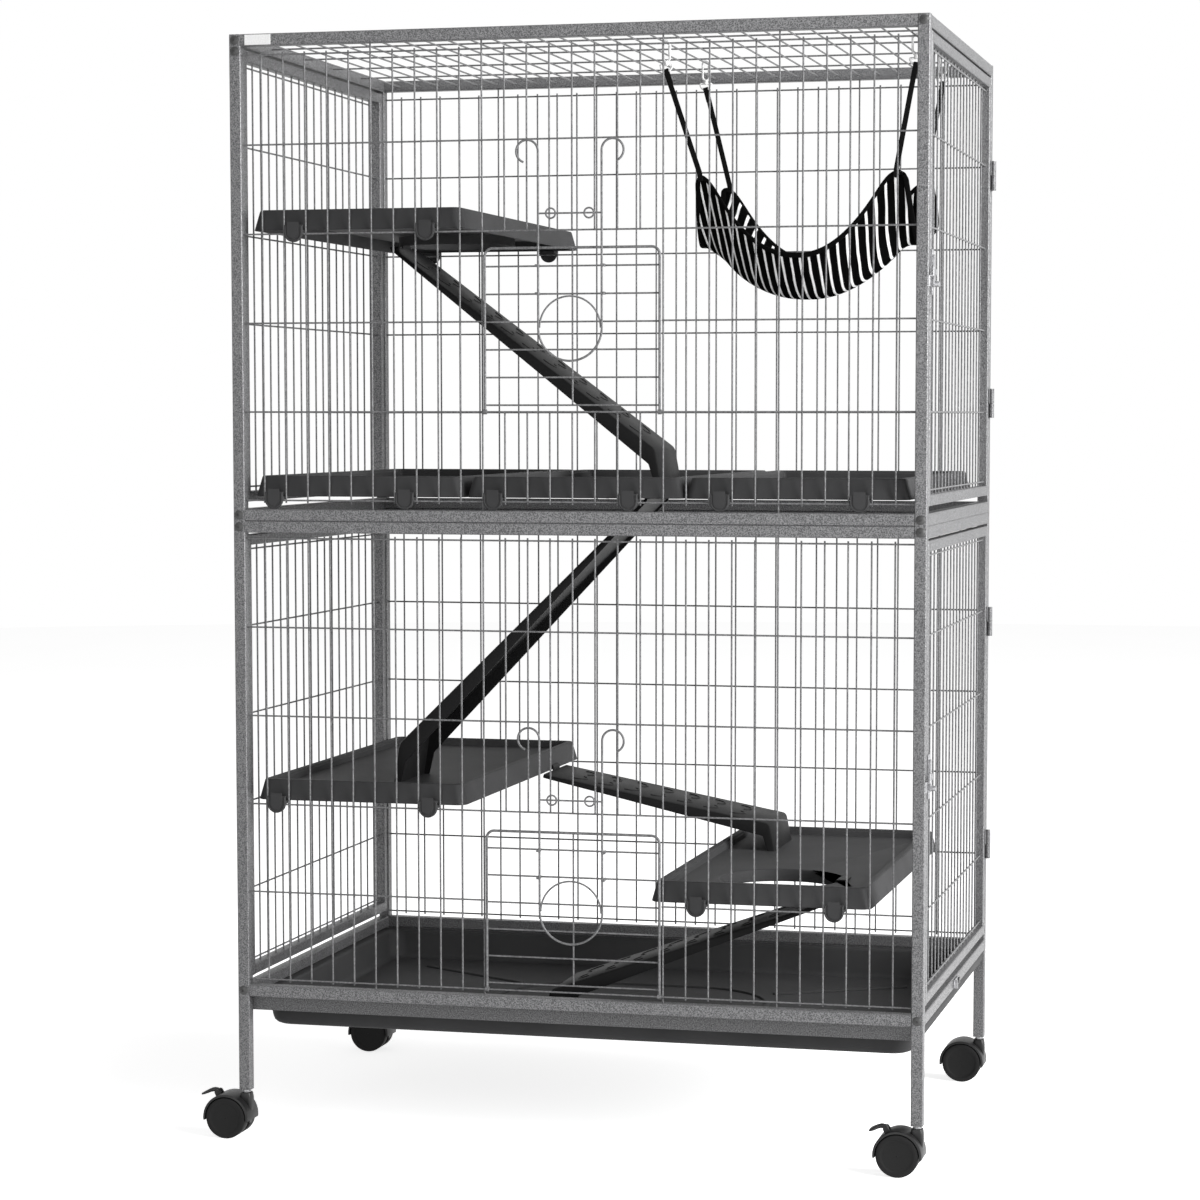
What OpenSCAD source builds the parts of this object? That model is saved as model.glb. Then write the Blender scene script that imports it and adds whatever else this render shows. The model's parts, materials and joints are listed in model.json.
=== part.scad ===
// Two-tier ferret cage on casters: square-tube frame, wire panels, two tall side doors,
// two small front doors with lift latches, six hook-on trays, four ramps, a pull-out pan
// and a hammock. X runs left to right, Y front to back, Z up. The origin lies on the floor
// at the centre of the four posts.

/* [Frame] */
// Width across the posts
cage_w = 800; // [780:2:860]
// Depth across the posts
cage_d = 526; // [516:2:600]
// Side of the square frame tube
tube = 13.5; // [12.5:0.5:16]
// Wall of the frame tube
tube_wall = 1.2; // [0.8:0.1:1.6]
// Bevel along the tube edges
tube_bevel = 0.9; // [0.5:0.1:1.5]
// Clear height between the rails of each tier
tier_h = 523.6; // [510:2:600]
// Length of leg below the bottom rails
leg_free = 110.5; // [90:1:150]
// Length of the solid plug in each leg and side rail
plug_l = 22; // [18:1:30]
// Radius of the frame bolt shanks
bolt_r = 2.5; // [2:0.1:3]
// Radius of the domed bolt heads
bolt_head_r = 5.2; // [4.5:0.1:6]
// Height of the domed bolt heads
bolt_head_h = 2.6; // [2:0.1:3.5]
// Clearance between a bolt shank and its hole
bolt_gap = 0.1; // [0.05:0.05:0.2]
// Width of the blank label plate
label_w = 31; // [24:1:36]
// Height of the blank label plate
label_h = 11.5; // [8:0.5:12]
// Thickness of the blank label plate
label_t = 0.6; // [0.4:0.1:1]

/* [Wire] */
// Diameter of the grid wire
wire_d = 2; // [1.6:0.1:2.4]
// Gap left between crossing wires
cross_gap = 0.04; // [0.02:0.01:0.08]
// Wanted spacing of the upright wires
upright_pitch = 26; // [24:0.5:28]
// Distance from a post to the first upright wire
edge_wire_gap = 21.9; // [18:0.5:24]
// Number of level wires in each tier
level_wires = 6; // [6:1:6]
// Distance from the rails to the end level wires, upper tier
upper_inset = 10; // [8:0.5:12]
// Distance from the rails to the end level wires, lower tier
lower_inset = 6.5; // [6.5:0.5:9]
// Spacing of the cross wires in the top grid
top_cross_pitch = 106; // [90:2:120]

/* [Side panels and doors] */
// Side of the tube that frames the side panels and doors
side_tube = 12; // [11:0.5:13]
// Gap above a side frame
side_gap_top = 3; // [2:0.5:5]
// Gap below a side frame
side_gap_bottom = 8; // [6:0.5:10]
// Gap between a door frame and the posts
door_gap = 2.5; // [2:0.1:4]
// Distance of the hinges from the top and bottom of a tier
hinge_inset = 122; // [100:1:150]
// Height of each hinge
hinge_h = 36; // [28:1:44]
// Radius of a hinge pin
hinge_pin_r = 1.6; // [1.4:0.1:1.8]
// Radius of a hinge knuckle
hinge_knuckle_r = 3.1; // [2.9:0.1:3.3]
// Radial clearance of the hinge pins and latch pivots
pin_gap = 0.05; // [0.02:0.01:0.08]
// Thickness of the hinge leaves and latch plates
plate_t = 1.5; // [1.2:0.1:1.8]
// Width of a hinge leaf
leaf_w = 10; // [8:0.5:11]
// Height of a door latch plate
latch_h = 49; // [44:1:56]
// Reach of the latch arm from its pivot
latch_arm = 15.5; // [14.5:0.5:16]
// Width of the latch arm
latch_arm_w = 7; // [6:0.5:8]

/* [Front doors] */
// Gap from a door's side rod to the next upright wire, centre to centre
front_door_side = 3.5; // [3.5:0.1:5]
// Gap from the top rod up to the wire above it
front_door_top = 19.5; // [16:0.5:26]
// Diameter of the door rods
door_rod_d = 3; // [2.6:0.1:3.2]
// Bend radius of the door's top corners
door_bend = 9; // [7:0.5:12]
// Level wires in a front door
door_wires = 6; // [5:1:7]
// Height of the lowest door wire above its hinge
door_wire_first = 7.5; // [7:0.5:10]
// Gap from the top rod down to the first wire below it
door_wire_last = 20; // [18:0.5:24]
// Diameter of the latch slider rods
slider_rod_d = 2.5; // [2.2:0.1:2.6]
// Radius of the slider's ring, which is half its rod spacing
slider_ring_r = 36.5; // [30:0.5:40]
// Height of the ring's centre above the hinge
slider_ring_z = 93; // [85:1:100]
// Height of the crossbar above the hinge
slider_bar_z = 219.5; // [200:1:230]
// Height of the curls' centres above the hinge
slider_curl_z = 288; // [270:1:300]
// Radius of the curls
slider_curl_r = 12.5; // [10:0.5:14]
// Radius of the two small loops on the crossbar
slider_loop_r = 5.5; // [4.5:0.5:6.5]
// Clearance around a sliding rod
slide_gap = 0.35; // [0.3:0.05:0.6]

/* [Trays] */
// Height of a tray
tray_h = 23.5; // [20:0.5:28]
// Outward flare of the tray skirt
tray_flare = 6; // [3:0.5:7]
// Gap between neighbouring trays at the skirt
tray_spacing = 2; // [1:0.5:8]
// Gap between the outer trays and the posts' inner faces
tray_end_gap = 8; // [4:0.5:14]
// Gap between the skirt and the grid's wires
tray_wire_gap = 1.2; // [1:0.1:3]
// Height of the skirt's edge above the wire that carries the tray
tray_over_wire = 4.5; // [4:0.25:6]
// Depth of the sunken tray floor
tray_sink = 9; // [7:0.5:11]
// Width of the raised tray rim
tray_rim = 8; // [6:0.5:10]
// Wall of a tray
tray_wall = 2.5; // [2:0.1:3]
// Corner radius of a tray
tray_corner_r = 9; // [8:0.5:14]
// Radius of the pass-through holes
hole_r = 70; // [60:1:74]
// Distance from the cage's centre line to the holes
hole_y = 134; // [125:1:140]
// Width of a hook tongue
hook_w = 21.5; // [18:0.5:22]
// Drop of a hook tongue below its wire
hook_drop = 9.5; // [8:0.5:9.5]
// Thickness of a hook tongue
hook_t = 3; // [2.5:0.1:3.2]
// Shift of the lower right tray from the right-hand third
lower_right_shift = -39; // [-60:1:-20]

/* [Ramps] */
// Width of a ramp
ramp_w = 112; // [90:1:120]
// Deck length of the upper ramp
ramp_upper_l = 418; // [400:1:430]
// Deck length of the middle ramp
ramp_middle_l = 412; // [400:1:430]
// Deck length of the ramp between the two lower trays
ramp_bridge_l = 290; // [270:1:300]
// Deck length of the ramp that reaches the pan
ramp_lower_l = 348.5; // [330:0.5:360]
// Thickness of a ramp's deck
ramp_t = 2.6; // [2:0.1:3.2]
// Thickness of a ramp's side walls
ramp_wall = 2.4; // [2:0.1:3]
// Height of the upper ramp's lower end above the floor below
ramp_upper_knee = 37.5; // [30:0.5:46]
// Height of the middle ramp's lower end above the floor below
ramp_middle_knee = 47; // [36:0.5:52]
// Height of the bridge ramp's lower end above the floor below
ramp_bridge_knee = 33.5; // [28:0.5:40]
// Height of the lower ramp's lower end above the floor below
ramp_lower_knee = 42.5; // [34:0.5:48]
// Depth of the side wall at the top end
ramp_wall_top = 4; // [3:0.5:6]
// Depth of the side wall at the foot
ramp_wall_foot = 15; // [12:1:18]
// Spacing of the treads
tread_pitch = 34; // [28:1:44]

/* [Pan] */
// Depth of the pan
pan_h = 37.5; // [30:0.5:42]
// Width of the pan's flange
pan_flange = 12; // [10:0.5:14]
// Height of the turned-down lip
pan_lip = 9.5; // [8:0.5:12]
// Wall of the pan
pan_wall = 2.2; // [1.8:0.1:2.6]
// Corner radius of the pan's body
pan_corner_r = 26; // [18:1:32]
// Slope of the pan's walls, inset from flange to floor
pan_slope = 4; // [2:0.5:10]
// Gap between the pan's rim and the rails above it
pan_top_gap = 1; // [0.8:0.1:2]
// Gap between the pan's lip and the runners
pan_side_gap = 1.5; // [1:0.1:3]
// Gap between the lip and the shelf it slides on
pan_slide_gap = 0.3; // [0.3:0.05:0.5]
// Distance from the left posts' faces to the pan's left edge
pan_left_gap = 8; // [4:1:14]
// Distance from the right posts' faces to the pan's right edge
pan_right_gap = 1; // [0.5:0.5:3]
// Height of the raised lines in the pan's floor
pan_line_h = 2.4; // [1.5:0.1:3.5]
// Width of the raised lines
pan_line_w = 7; // [5:0.5:10]
// Length of the oval line
pan_oval_l = 340; // [280:5:380]
// Width of the oval line
pan_oval_w = 220; // [180:5:260]
// Length of each line towards a corner
pan_arm_l = 175; // [120:5:185]
// Height of the runners that carry the pan
runner_h = 17.5; // [15:0.5:22]
// Width of the runners' shelves
runner_shelf = 8; // [6:0.5:9]
// Length of the pan's turn clasp
clasp_l = 36; // [30:1:42]

/* [Hammock] */
// Width between the hammock's corners
hammock_w = 230; // [200:2:250]
// Depth between the hammock's corners
hammock_d = 200; // [180:2:230]
// Shift of the hammock from the middle of its clips
hammock_shift = 6.4; // [-8:0.1:8]
// Height of the corners above the upper tier's floor rails
hammock_z = 381; // [360:1:400]
// Sag of the long hems
hem_sag = 92; // [70:1:110]
// Sag of the end hems
end_sag = 81; // [60:1:95]
// Sag of the middle
belly_sag = 139; // [120:1:155]
// Thickness of the cloth
cloth_t = 3; // [2.4:0.2:4]
// Y of the hammock's middle
hammock_y = -27; // [-40:1:0]
// Length of a snap hook below its wire
clip_drop = 33; // [31:1:40]
// Width of a hanging strap
strap_w = 6; // [5:0.5:8]

/* [Casters] */
// Radius of a wheel
wheel_r = 24; // [20:0.5:26]
// Width of each wheel disc
wheel_w = 14; // [12:0.5:15]
// Distance from the stem back to the axle
caster_trail = 20; // [16:0.5:22]
// Thickness of the caster's centre web
web_t = 8; // [7:0.5:10]
// Gap between the wheel and its hood
hood_gap = 1; // [0.6:0.1:1.5]
// Wall of the hood
hood_wall = 2.6; // [2:0.1:3.2]
// Radius of the caster's stem
stem_r = 4; // [3.5:0.1:4.5]
// Bare length of stem below the leg
stem_gap = 3; // [2:0.5:5]
// Radius of the axle
axle_r = 3; // [2.5:0.1:3.5]

/* [Hidden] */

$fn = 24;
paint = [0.47, 0.47, 0.48];
bright = [0.74, 0.75, 0.76];
plastic = [0.2, 0.2, 0.21];
black = [0.05, 0.05, 0.05];
flat = 0.3;

// Heights
hood_r = wheel_r + hood_gap + hood_wall;
leg_z = wheel_r + hood_r + 1.4 + stem_gap;
rail_z = leg_z + leg_free;
lower_z0 = rail_z + tube;
lower_z1 = lower_z0 + tier_h;
upper_z0 = lower_z1 + 2 * tube + cross_gap;
upper_z1 = upper_z0 + tier_h;
top_z = upper_z1 + tube;

// Plan
half_w = cage_w / 2;
half_d = cage_d / 2;
in_x = half_w - tube;
in_y = half_d - tube;
mid_x = half_w - tube / 2;
mid_y = half_d - tube / 2;
corners = [[-1, -1], [1, -1], [-1, 1], [1, 1]];
rail_levels = [rail_z, lower_z1, upper_z0 - tube, upper_z1];
extra_bolt_z = upper_z1 + tube / 2 - 2 * bolt_head_r - 1.8;

// Grids
wire_r = wire_d / 2;
wire_step = wire_r + cross_gap / 2;
half_gaps = round((in_x - edge_wire_gap) / upright_pitch);
pitch = (in_x - edge_wire_gap) / half_gaps;
upper_row = (tier_h - 2 * upper_inset) / (level_wires - 1);
lower_row = (tier_h - 2 * lower_inset) / (level_wires - 1);
function upper_level(k) = upper_z0 + upper_inset + k * upper_row;
function lower_level(k) = lower_z0 + lower_inset + k * lower_row;
level_y = mid_y + wire_step;
upright_y = mid_y - wire_step;
opening_gaps = 4;

// Side frames
side_h = tier_h - side_gap_top - side_gap_bottom;
door_half = in_y - door_gap;
side_half_gaps = round((in_y - side_tube) / upright_pitch) - 1;

// Hinges and latches
hinge_x = half_w + hinge_knuckle_r + flat;
hinge_y = in_y - door_gap / 2;
latch_y = -door_half + side_tube / 2;
lever_t = 1.6;
lever_gap = 0.5;
lever_x = half_w + plate_t + lever_gap;
pivot_r = 2;
screw_r = 2.6;
screw_proud = 0.2;

// Front doors: the rods and the latch slider
rod_r = door_rod_d / 2;
slider_r = slider_rod_d / 2;
door_h = 2 * min(upper_row, lower_row) - front_door_top;
door_side_x = opening_gaps * pitch - front_door_side;
slider_y = -half_d - slider_r - 0.4;
door_wire_pitch = (door_h - door_wire_first - door_wire_last) / (door_wires - 1);
knuckle_r = 2.8;
knuckle_w = 4;

// Trays
tray_l = 2 * (upright_y - wire_r - tray_wire_gap);
tray_w = (2 * (in_x - tray_end_gap) - 2 * tray_spacing) / 3;
tray_x = tray_w + tray_spacing;
mid_tray_z = upper_level(0) + tray_over_wire;
high_tray_z = upper_level(3) + tray_over_wire;
left_tray_z = lower_level(2) + tray_over_wire;
low_tray_z = lower_level(1) + tray_over_wire;
floor_up = tray_h - tray_sink;
hook_in = hole_r - 2;
bridge_y = hole_y;
low_tray_x = tray_x + lower_right_shift;
hook_gap = 0.3;

// Pan
pan_top = rail_z - pan_top_gap;
pan_bottom = pan_top - pan_h;
pan_floor = pan_bottom + pan_wall;
pan_x0 = -half_w + pan_left_gap;
pan_x1 = half_w - pan_right_gap;
pan_half = in_y - pan_side_gap;
pan_mid = (pan_x0 + pan_x1) / 2;

// Hammock
clip_step_left = 3;
clip_mid = (clip_step_left + half_gaps) * pitch / 2;
clip_half = (half_gaps - clip_step_left) * pitch / 2;
hammock_x = clip_mid + hammock_shift;
corner_z = upper_z0 + hammock_z;
top_wire_z = top_z - tube / 2;
clip_wire_z = top_wire_z - wire_step;
strap_t = 1.6;
flap_out = 0.8 * cloth_t;
clip_r = 1.3;
loop_r = 4;
ring_r = 6.9;

// Casters
web_gap = 0.4;
caster_w = web_t + 2 * wheel_w + 2 * web_gap;
hood_inner_r = wheel_r + hood_gap;
brake_pin_r = 1.5;
brake_lug_r = 3;
brake_r = hood_r + brake_lug_r + 0.5;
brake_a = 118;
brake_pivot = [brake_r * cos(brake_a), brake_r * sin(brake_a)];

// ---- Tubes and wires ----

function bevelled(s, b) = let (h = s / 2) [[-h + b, -h], [h - b, -h], [h, -h + b], [h, h - b],
    [h - b, h], [-h + b, h], [-h, h - b], [-h, -h + b]];

module tube_section(s) {
    difference() {
        polygon(bevelled(s, tube_bevel));
        square(s - 2 * tube_wall, center = true);
    }
}

module along_x(x0, x1) {
    translate([x0, 0, 0]) rotate([90, 0, 90]) linear_extrude(x1 - x0) children();
}

module along_y(y0, y1) {
    translate([0, y0, 0]) rotate([-90, 0, 0]) linear_extrude(y1 - y0) children();
}

module wire_x(x0, x1, y, z, r = wire_r) {
    translate([x0, y, z]) rotate([0, 90, 0]) cylinder(r = r, h = x1 - x0);
}

module wire_y(y0, y1, x, z, r = wire_r) {
    translate([x, y0, z]) rotate([-90, 0, 0]) cylinder(r = r, h = y1 - y0);
}

module wire_z(z0, z1, x, y, r = wire_r) {
    translate([x, y, z0]) cylinder(r = r, h = z1 - z0);
}

// ---- Frame ----

module post(sx, sy) {
    color(paint) difference() {
        translate([sx * mid_x, sy * mid_y, leg_z]) linear_extrude(top_z - leg_z) tube_section(tube);
        for (z = rail_levels)
            wire_y(min(sy * half_d, sy * in_y) - 1, max(sy * half_d, sy * in_y) + 1,
                sx * mid_x, z + tube / 2, bolt_r + bolt_gap);
        if (sx < 0 && sy < 0)
            wire_y(-half_d - 1, -mid_y, -mid_x, extra_bolt_z, bolt_r + bolt_gap);
    }
}

module rails_along_x(z) {
    color(paint) for (sy = [-1, 1])
        translate([0, sy * mid_y, z + tube / 2]) along_x(-in_x, in_x) tube_section(tube);
}

module rails_along_y(z) {
    color(paint) for (sx = [-1, 1]) translate([sx * mid_x, 0, z + tube / 2]) difference() {
        along_y(-in_y, in_y) polygon(bevelled(tube, tube_bevel));
        along_y(-in_y + plug_l, in_y - plug_l) square(tube - 2 * tube_wall, center = true);
        wire_y(-in_y - 1, in_y + 1, 0, 0, bolt_r + bolt_gap);
    }
}

module top_rails() {
    rails_along_x(upper_z1);
    rails_along_y(upper_z1);
}

module middle_rails() {
    for (z = [lower_z1, upper_z0 - tube]) {
        rails_along_x(z);
        rails_along_y(z);
    }
}

module bottom_rails() {
    rails_along_x(rail_z);
    rails_along_y(rail_z);
}

// A bar of Z section under each bottom rail; the pan's lip slides on its shelf
module pan_runners() {
    shelf_z = pan_top - pan_lip - pan_slide_gap;
    color(paint) for (sy = [-1, 1]) along_x(-in_x, in_x)
        polygon([[sy * in_y, rail_z], [sy * (in_y + plate_t), rail_z],
            [sy * (in_y + plate_t), rail_z - runner_h], [sy * in_y, rail_z - runner_h],
            [sy * in_y, shelf_z - plate_t], [sy * (in_y - runner_shelf), shelf_z - plate_t],
            [sy * (in_y - runner_shelf), shelf_z], [sy * in_y, shelf_z]]);
}

module leg_plugs() {
    plug_s = tube - 2 * tube_wall - 0.1;
    color(black) for (c = corners) translate([c[0] * mid_x, c[1] * mid_y, leg_z]) difference() {
        translate([-plug_s / 2, -plug_s / 2, 0]) cube([plug_s, plug_s, plug_l]);
        translate([0, 0, -1]) cylinder(r = stem_r + pin_gap, h = plug_l + 2);
    }
}

module bolt_head() {
    difference() {
        intersection() {
            translate([0, 0, bolt_head_h - bolt_head_r * 1.6]) sphere(r = bolt_head_r * 1.6, $fn = 48);
            cylinder(r = bolt_head_r, h = bolt_head_h);
        }
        translate([0, 0, bolt_head_h - 1.3]) cylinder(r = 1.7, h = 2, $fn = 6);
    }
}

module frame_bolt(x, y, z, sy, l) {
    translate([x, y, z]) rotate([sy * -90, 0, 0]) {
        bolt_head();
        translate([0, 0, -l]) cylinder(r = bolt_r, h = l + 0.2);
    }
}

module frame_bolts() {
    color(bright) {
        for (c = corners, z = rail_levels)
            frame_bolt(c[0] * mid_x, c[1] * half_d, z + tube / 2, c[1], tube + plug_l * 0.7);
        frame_bolt(-mid_x, -half_d, extra_bolt_z, -1, tube_wall);
        translate([half_w, 0, rail_z + tube / 2]) rotate([0, 90, 0]) clasp_screw();
    }
}

module label_plate() {
    color("white") translate([-in_x + 5.5, -half_d - label_t, upper_z1 + (tube - label_h) / 2])
        cube([label_w, label_t, label_h]);
}

// ---- Grids ----

// Upright wires; the outer ones and those beside the door opening run on into the rails,
// and those inside the opening stop at the wires below and above it
module uprights(z0, z1, y, low, high, open_low = 0, open_high = 0) {
    over = 3;
    for (i = [-half_gaps : half_gaps]) {
        runs_on = abs(i) == opening_gaps || abs(i) == half_gaps - 5;
        a = runs_on ? z0 : low - over;
        b = runs_on ? z1 : high + over;
        if (abs(i) < opening_gaps && open_high > open_low) {
            if (open_low > low) wire_z(a, open_low + 1, i * pitch, y);
            wire_z(open_high - 1, b, i * pitch, y);
        } else wire_z(a, b, i * pitch, y);
    }
}

module front_grid_upper() {
    color(paint) {
        uprights(upper_z0, upper_z1, -upright_y, upper_level(0), upper_level(level_wires - 1),
            upper_level(1), upper_level(3));
        levels_with_opening([for (k = [0 : level_wires - 1]) upper_level(k)], 2);
    }
}

module front_grid_lower() {
    color(paint) {
        uprights(lower_z0, lower_z1, -upright_y, lower_level(0), lower_level(level_wires - 1),
            lower_level(0), lower_level(2));
        levels_with_opening([for (k = [0 : level_wires - 1]) lower_level(k)], 1);
    }
}

module levels_with_opening(zs, open_k) {
    edge = opening_gaps * pitch - wire_r;
    for (k = [0 : len(zs) - 1]) {
        if (k == open_k) {
            wire_x(-in_x, -edge, -level_y, zs[k]);
            wire_x(edge, in_x, -level_y, zs[k]);
        } else wire_x(-in_x, in_x, -level_y, zs[k]);
    }
}

module back_grids() {
    color(paint) {
        uprights(upper_z0, upper_z1, upright_y, upper_level(0), upper_level(level_wires - 1));
        uprights(lower_z0, lower_z1, upright_y, lower_level(0), lower_level(level_wires - 1));
        for (k = [0 : level_wires - 1]) {
            wire_x(-in_x, in_x, level_y, upper_level(k));
            wire_x(-in_x, in_x, level_y, lower_level(k));
        }
    }
}

module top_grid() {
    gaps = round(2 * in_y / top_cross_pitch);
    color(paint) {
        for (i = [-half_gaps : half_gaps]) wire_y(-in_y, in_y, i * pitch, clip_wire_z);
        for (k = [1 : gaps - 1])
            wire_x(-in_x, in_x, (k - gaps / 2) * top_cross_pitch, top_wire_z + wire_step);
    }
}

// ---- Side panels and doors ----

// Four tubes round a panel of half depth h, with its bottom at z
module side_frame(sx, h, z) {
    x = sx * (half_w - side_tube / 2);
    st = side_tube / 2;
    color(paint) {
        for (sy = [-1, 1]) translate([x, sy * (h - st), z]) linear_extrude(side_h)
            tube_section(side_tube);
        for (zz = [z + st, z + side_h - st]) translate([x, 0, zz])
            along_y(-h + side_tube + cross_gap, h - side_tube - cross_gap) tube_section(side_tube);
    }
}

module side_grid(sx, h, z, levels) {
    x = half_w - side_tube / 2;
    lo = z + side_tube;
    hi = z + side_h - side_tube;
    reach = h - side_tube;
    inner = [for (l = levels) if (l > lo + 8 && l < hi - 8) l];
    color(paint) {
        for (i = [-side_half_gaps : side_half_gaps])
            wire_z(lo, hi, sx * (x - wire_step), i * pitch);
        for (l = concat([lo + 5], inner, [hi - 5])) wire_y(-reach, reach, sx * (x + wire_step), l);
    }
}

function all_levels() = concat([for (k = [1 : level_wires - 2]) upper_level(k)],
    [for (k = [1 : level_wires - 2]) lower_level(k)]);

module left_frames() {
    side_frame(-1, in_y, upper_z0 + side_gap_bottom);
    side_frame(-1, in_y, lower_z0 + side_gap_bottom);
}

module left_grids() {
    side_grid(-1, in_y, upper_z0 + side_gap_bottom, all_levels());
    side_grid(-1, in_y, lower_z0 + side_gap_bottom, all_levels());
}

// ---- Hinges and latches ----

function hinge_levels(z0) = [z0 + hinge_inset, z0 + tier_h - hinge_inset];

// The lower half of each hinge, with its pin, on the back post
module hinge_post_leaves() {
    color(paint) for (z = concat(hinge_levels(lower_z0), hinge_levels(upper_z0))) {
        translate([hinge_x, hinge_y, z - hinge_h / 2]) {
            cylinder(r = hinge_knuckle_r, h = hinge_h / 2 - 0.2);
            cylinder(r = hinge_pin_r, h = hinge_h);
        }
        translate([half_w, hinge_y, z - hinge_h / 2]) cube([plate_t, leaf_w, hinge_h / 2 - 0.2]);
    }
}

module hinge_door_leaves(z0) {
    color(paint) for (z = hinge_levels(z0)) difference() {
        union() {
            translate([hinge_x, hinge_y, z + 0.2]) cylinder(r = hinge_knuckle_r, h = hinge_h / 2 - 0.2);
            translate([half_w, hinge_y - leaf_w, z + 0.2]) cube([plate_t, leaf_w, hinge_h / 2 - 0.2]);
        }
        translate([hinge_x, hinge_y, z - 1]) cylinder(r = hinge_pin_r + pin_gap, h = hinge_h);
    }
}

function latch_z(z0) = z0 + tier_h / 2;

module latch_plate(z0) {
    w = side_tube - 1;
    color(bright) translate([half_w, latch_y, latch_z(z0)]) {
        translate([0, -w / 2, -latch_h / 2]) cube([plate_t, w, latch_h]);
        rotate([0, 90, 0]) {
            cylinder(r = pivot_r, h = plate_t + lever_gap + lever_t + flat);
            translate([0, 0, plate_t + lever_gap + lever_t + flat])
                cylinder(r = pivot_r + 1.6, h = 1.4);
        }
        for (s = [-1, 1]) translate([plate_t, 0, s * (latch_h / 2 - 5)]) rotate([0, 90, 0])
            cylinder(r = screw_r, h = screw_proud);
    }
}

// The arm stands up at rest and turns down over the post into the keeper
module latch_lever(z0) {
    tail = 13;
    color(bright) translate([lever_x, latch_y, latch_z(z0)]) rotate([90, 0, 90]) {
        difference() {
            union() {
                linear_extrude(lever_t) {
                    translate([-latch_arm_w / 2, -tail]) square([latch_arm_w, tail + latch_arm]);
                    translate([0, latch_arm]) circle(r = latch_arm_w / 2);
                    translate([0, -tail]) circle(r = latch_arm_w / 2);
                }
                translate([0, -tail, 0]) cylinder(r = 3, h = 7);
            }
            translate([0, 0, -1]) cylinder(r = pivot_r + pin_gap, h = lever_t + 2);
        }
    }
}

module latch_keepers() {
    w = 9;
    shelf = latch_arm_w / 2 + 0.5;
    out = plate_t + lever_gap + lever_t + 1;
    color(bright) for (z0 = [lower_z0, upper_z0])
        translate([half_w, -mid_y - w / 2 - 1, latch_z(z0)]) along_y(0, w)
            polygon([[0, 16], [0, shelf], [out, shelf], [out, -5], [out + 1.2, -5],
                [out + 1.2, shelf + 1.2], [1.2, shelf + 1.2], [1.2, 16]]);
}

// ---- Front doors ----

module bend(r, rod, a = 90) {
    rotate_extrude(angle = a, $fn = 48) translate([r, 0]) circle(r = rod, $fn = 24);
}

// Rod frame with a bored knuckle at each foot, level wires, one upright and rod guides
module front_door(hinge_z) {
    top = door_h - door_bend;
    x = door_side_x;
    guide_row = door_wires - 1;
    color(paint) translate([0, -level_y, hinge_z]) {
        for (m = [0, 1]) mirror([m, 0, 0]) {
            wire_z(knuckle_r - 0.6, top, x, 0, rod_r);
            difference() {
                wire_x(x - knuckle_w / 2, x + knuckle_w / 2, 0, 0, knuckle_r);
                wire_x(x - knuckle_w, x + knuckle_w, 0, 0, wire_r + pin_gap);
            }
            translate([x - door_bend, 0, top]) rotate([90, 0, 0]) bend(door_bend, rod_r);
        }
        wire_x(-x + door_bend, x - door_bend, 0, door_h, rod_r);
        for (k = [0 : door_wires - 1])
            wire_x(-x, x, rod_r + wire_r - 0.3, door_wire_first + k * door_wire_pitch);
        wire_z(door_wire_first, door_h, 0, rod_r + 3 * wire_r - 0.6);
        for (s = [-1, 1], k = [guide_row - 1, guide_row])
            translate([s * slider_ring_r, 0, door_wire_first + k * door_wire_pitch]) rod_guide(s);
    }
}

// A clip that is open towards the middle of the door, so that the crossbar passes it
module rod_guide(s) {
    y0 = slider_y + level_y;
    c = slider_r + slide_gap;
    t = 1.5;
    h = 3;
    translate([0, y0, -h / 2]) linear_extrude(h) scale([s, 1]) {
        translate([c, -c - t]) square([t, 2 * (c + t)]);
        translate([-0.8, -c - t]) square([c + t + 0.8, t]);
        translate([-0.8, c]) square([c + t + 0.8, t]);
        translate([0.4, c]) square([t, -y0 - c + rod_r + wire_r]);
    }
}

// Two rods joined by the ring's thick lower half, with a crossbar and curled ends
module front_slider(hinge_z) {
    r = slider_ring_r;
    color(bright) translate([0, slider_y, hinge_z]) {
        translate([0, 0, slider_ring_z]) rotate([90, 0, 0]) {
            rotate([0, 0, 180]) bend(r, slider_r, 180);
            bend(r - 1.4, 1, 180);
        }
        for (s = [-1, 1]) {
            wire_z(slider_ring_z, slider_curl_z, s * r, 0, slider_r);
            translate([s * (r + slider_curl_r), 0, slider_curl_z]) rotate([90, 0, 0])
                rotate([0, 0, s > 0 ? -70 : 0]) bend(slider_curl_r, slider_r, 250);
        }
        wire_x(-r + 0.6, r - 0.6, 0, slider_bar_z, 1);
        for (s = [-1, 1]) translate([s * 22, 0, slider_bar_z]) rotate([90, 0, 0])
            bend(slider_loop_r, 1, 360);
    }
}

// ---- Trays and their hooks ----

module plate_with_corners(l, w, r, h) {
    for (sx = [-1, 1], sy = [-1, 1])
        translate([sx * (l / 2 - r), sy * (w / 2 - r), 0]) cylinder(r = r, h = h, $fn = 32);
}

module flared(l0, w0, l1, w1, r, h) {
    hull() {
        plate_with_corners(l0, w0, r + tray_flare / 2, 0.1);
        translate([0, 0, h - 0.1]) plate_with_corners(l1, w1, r, 0.1);
    }
}

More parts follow.
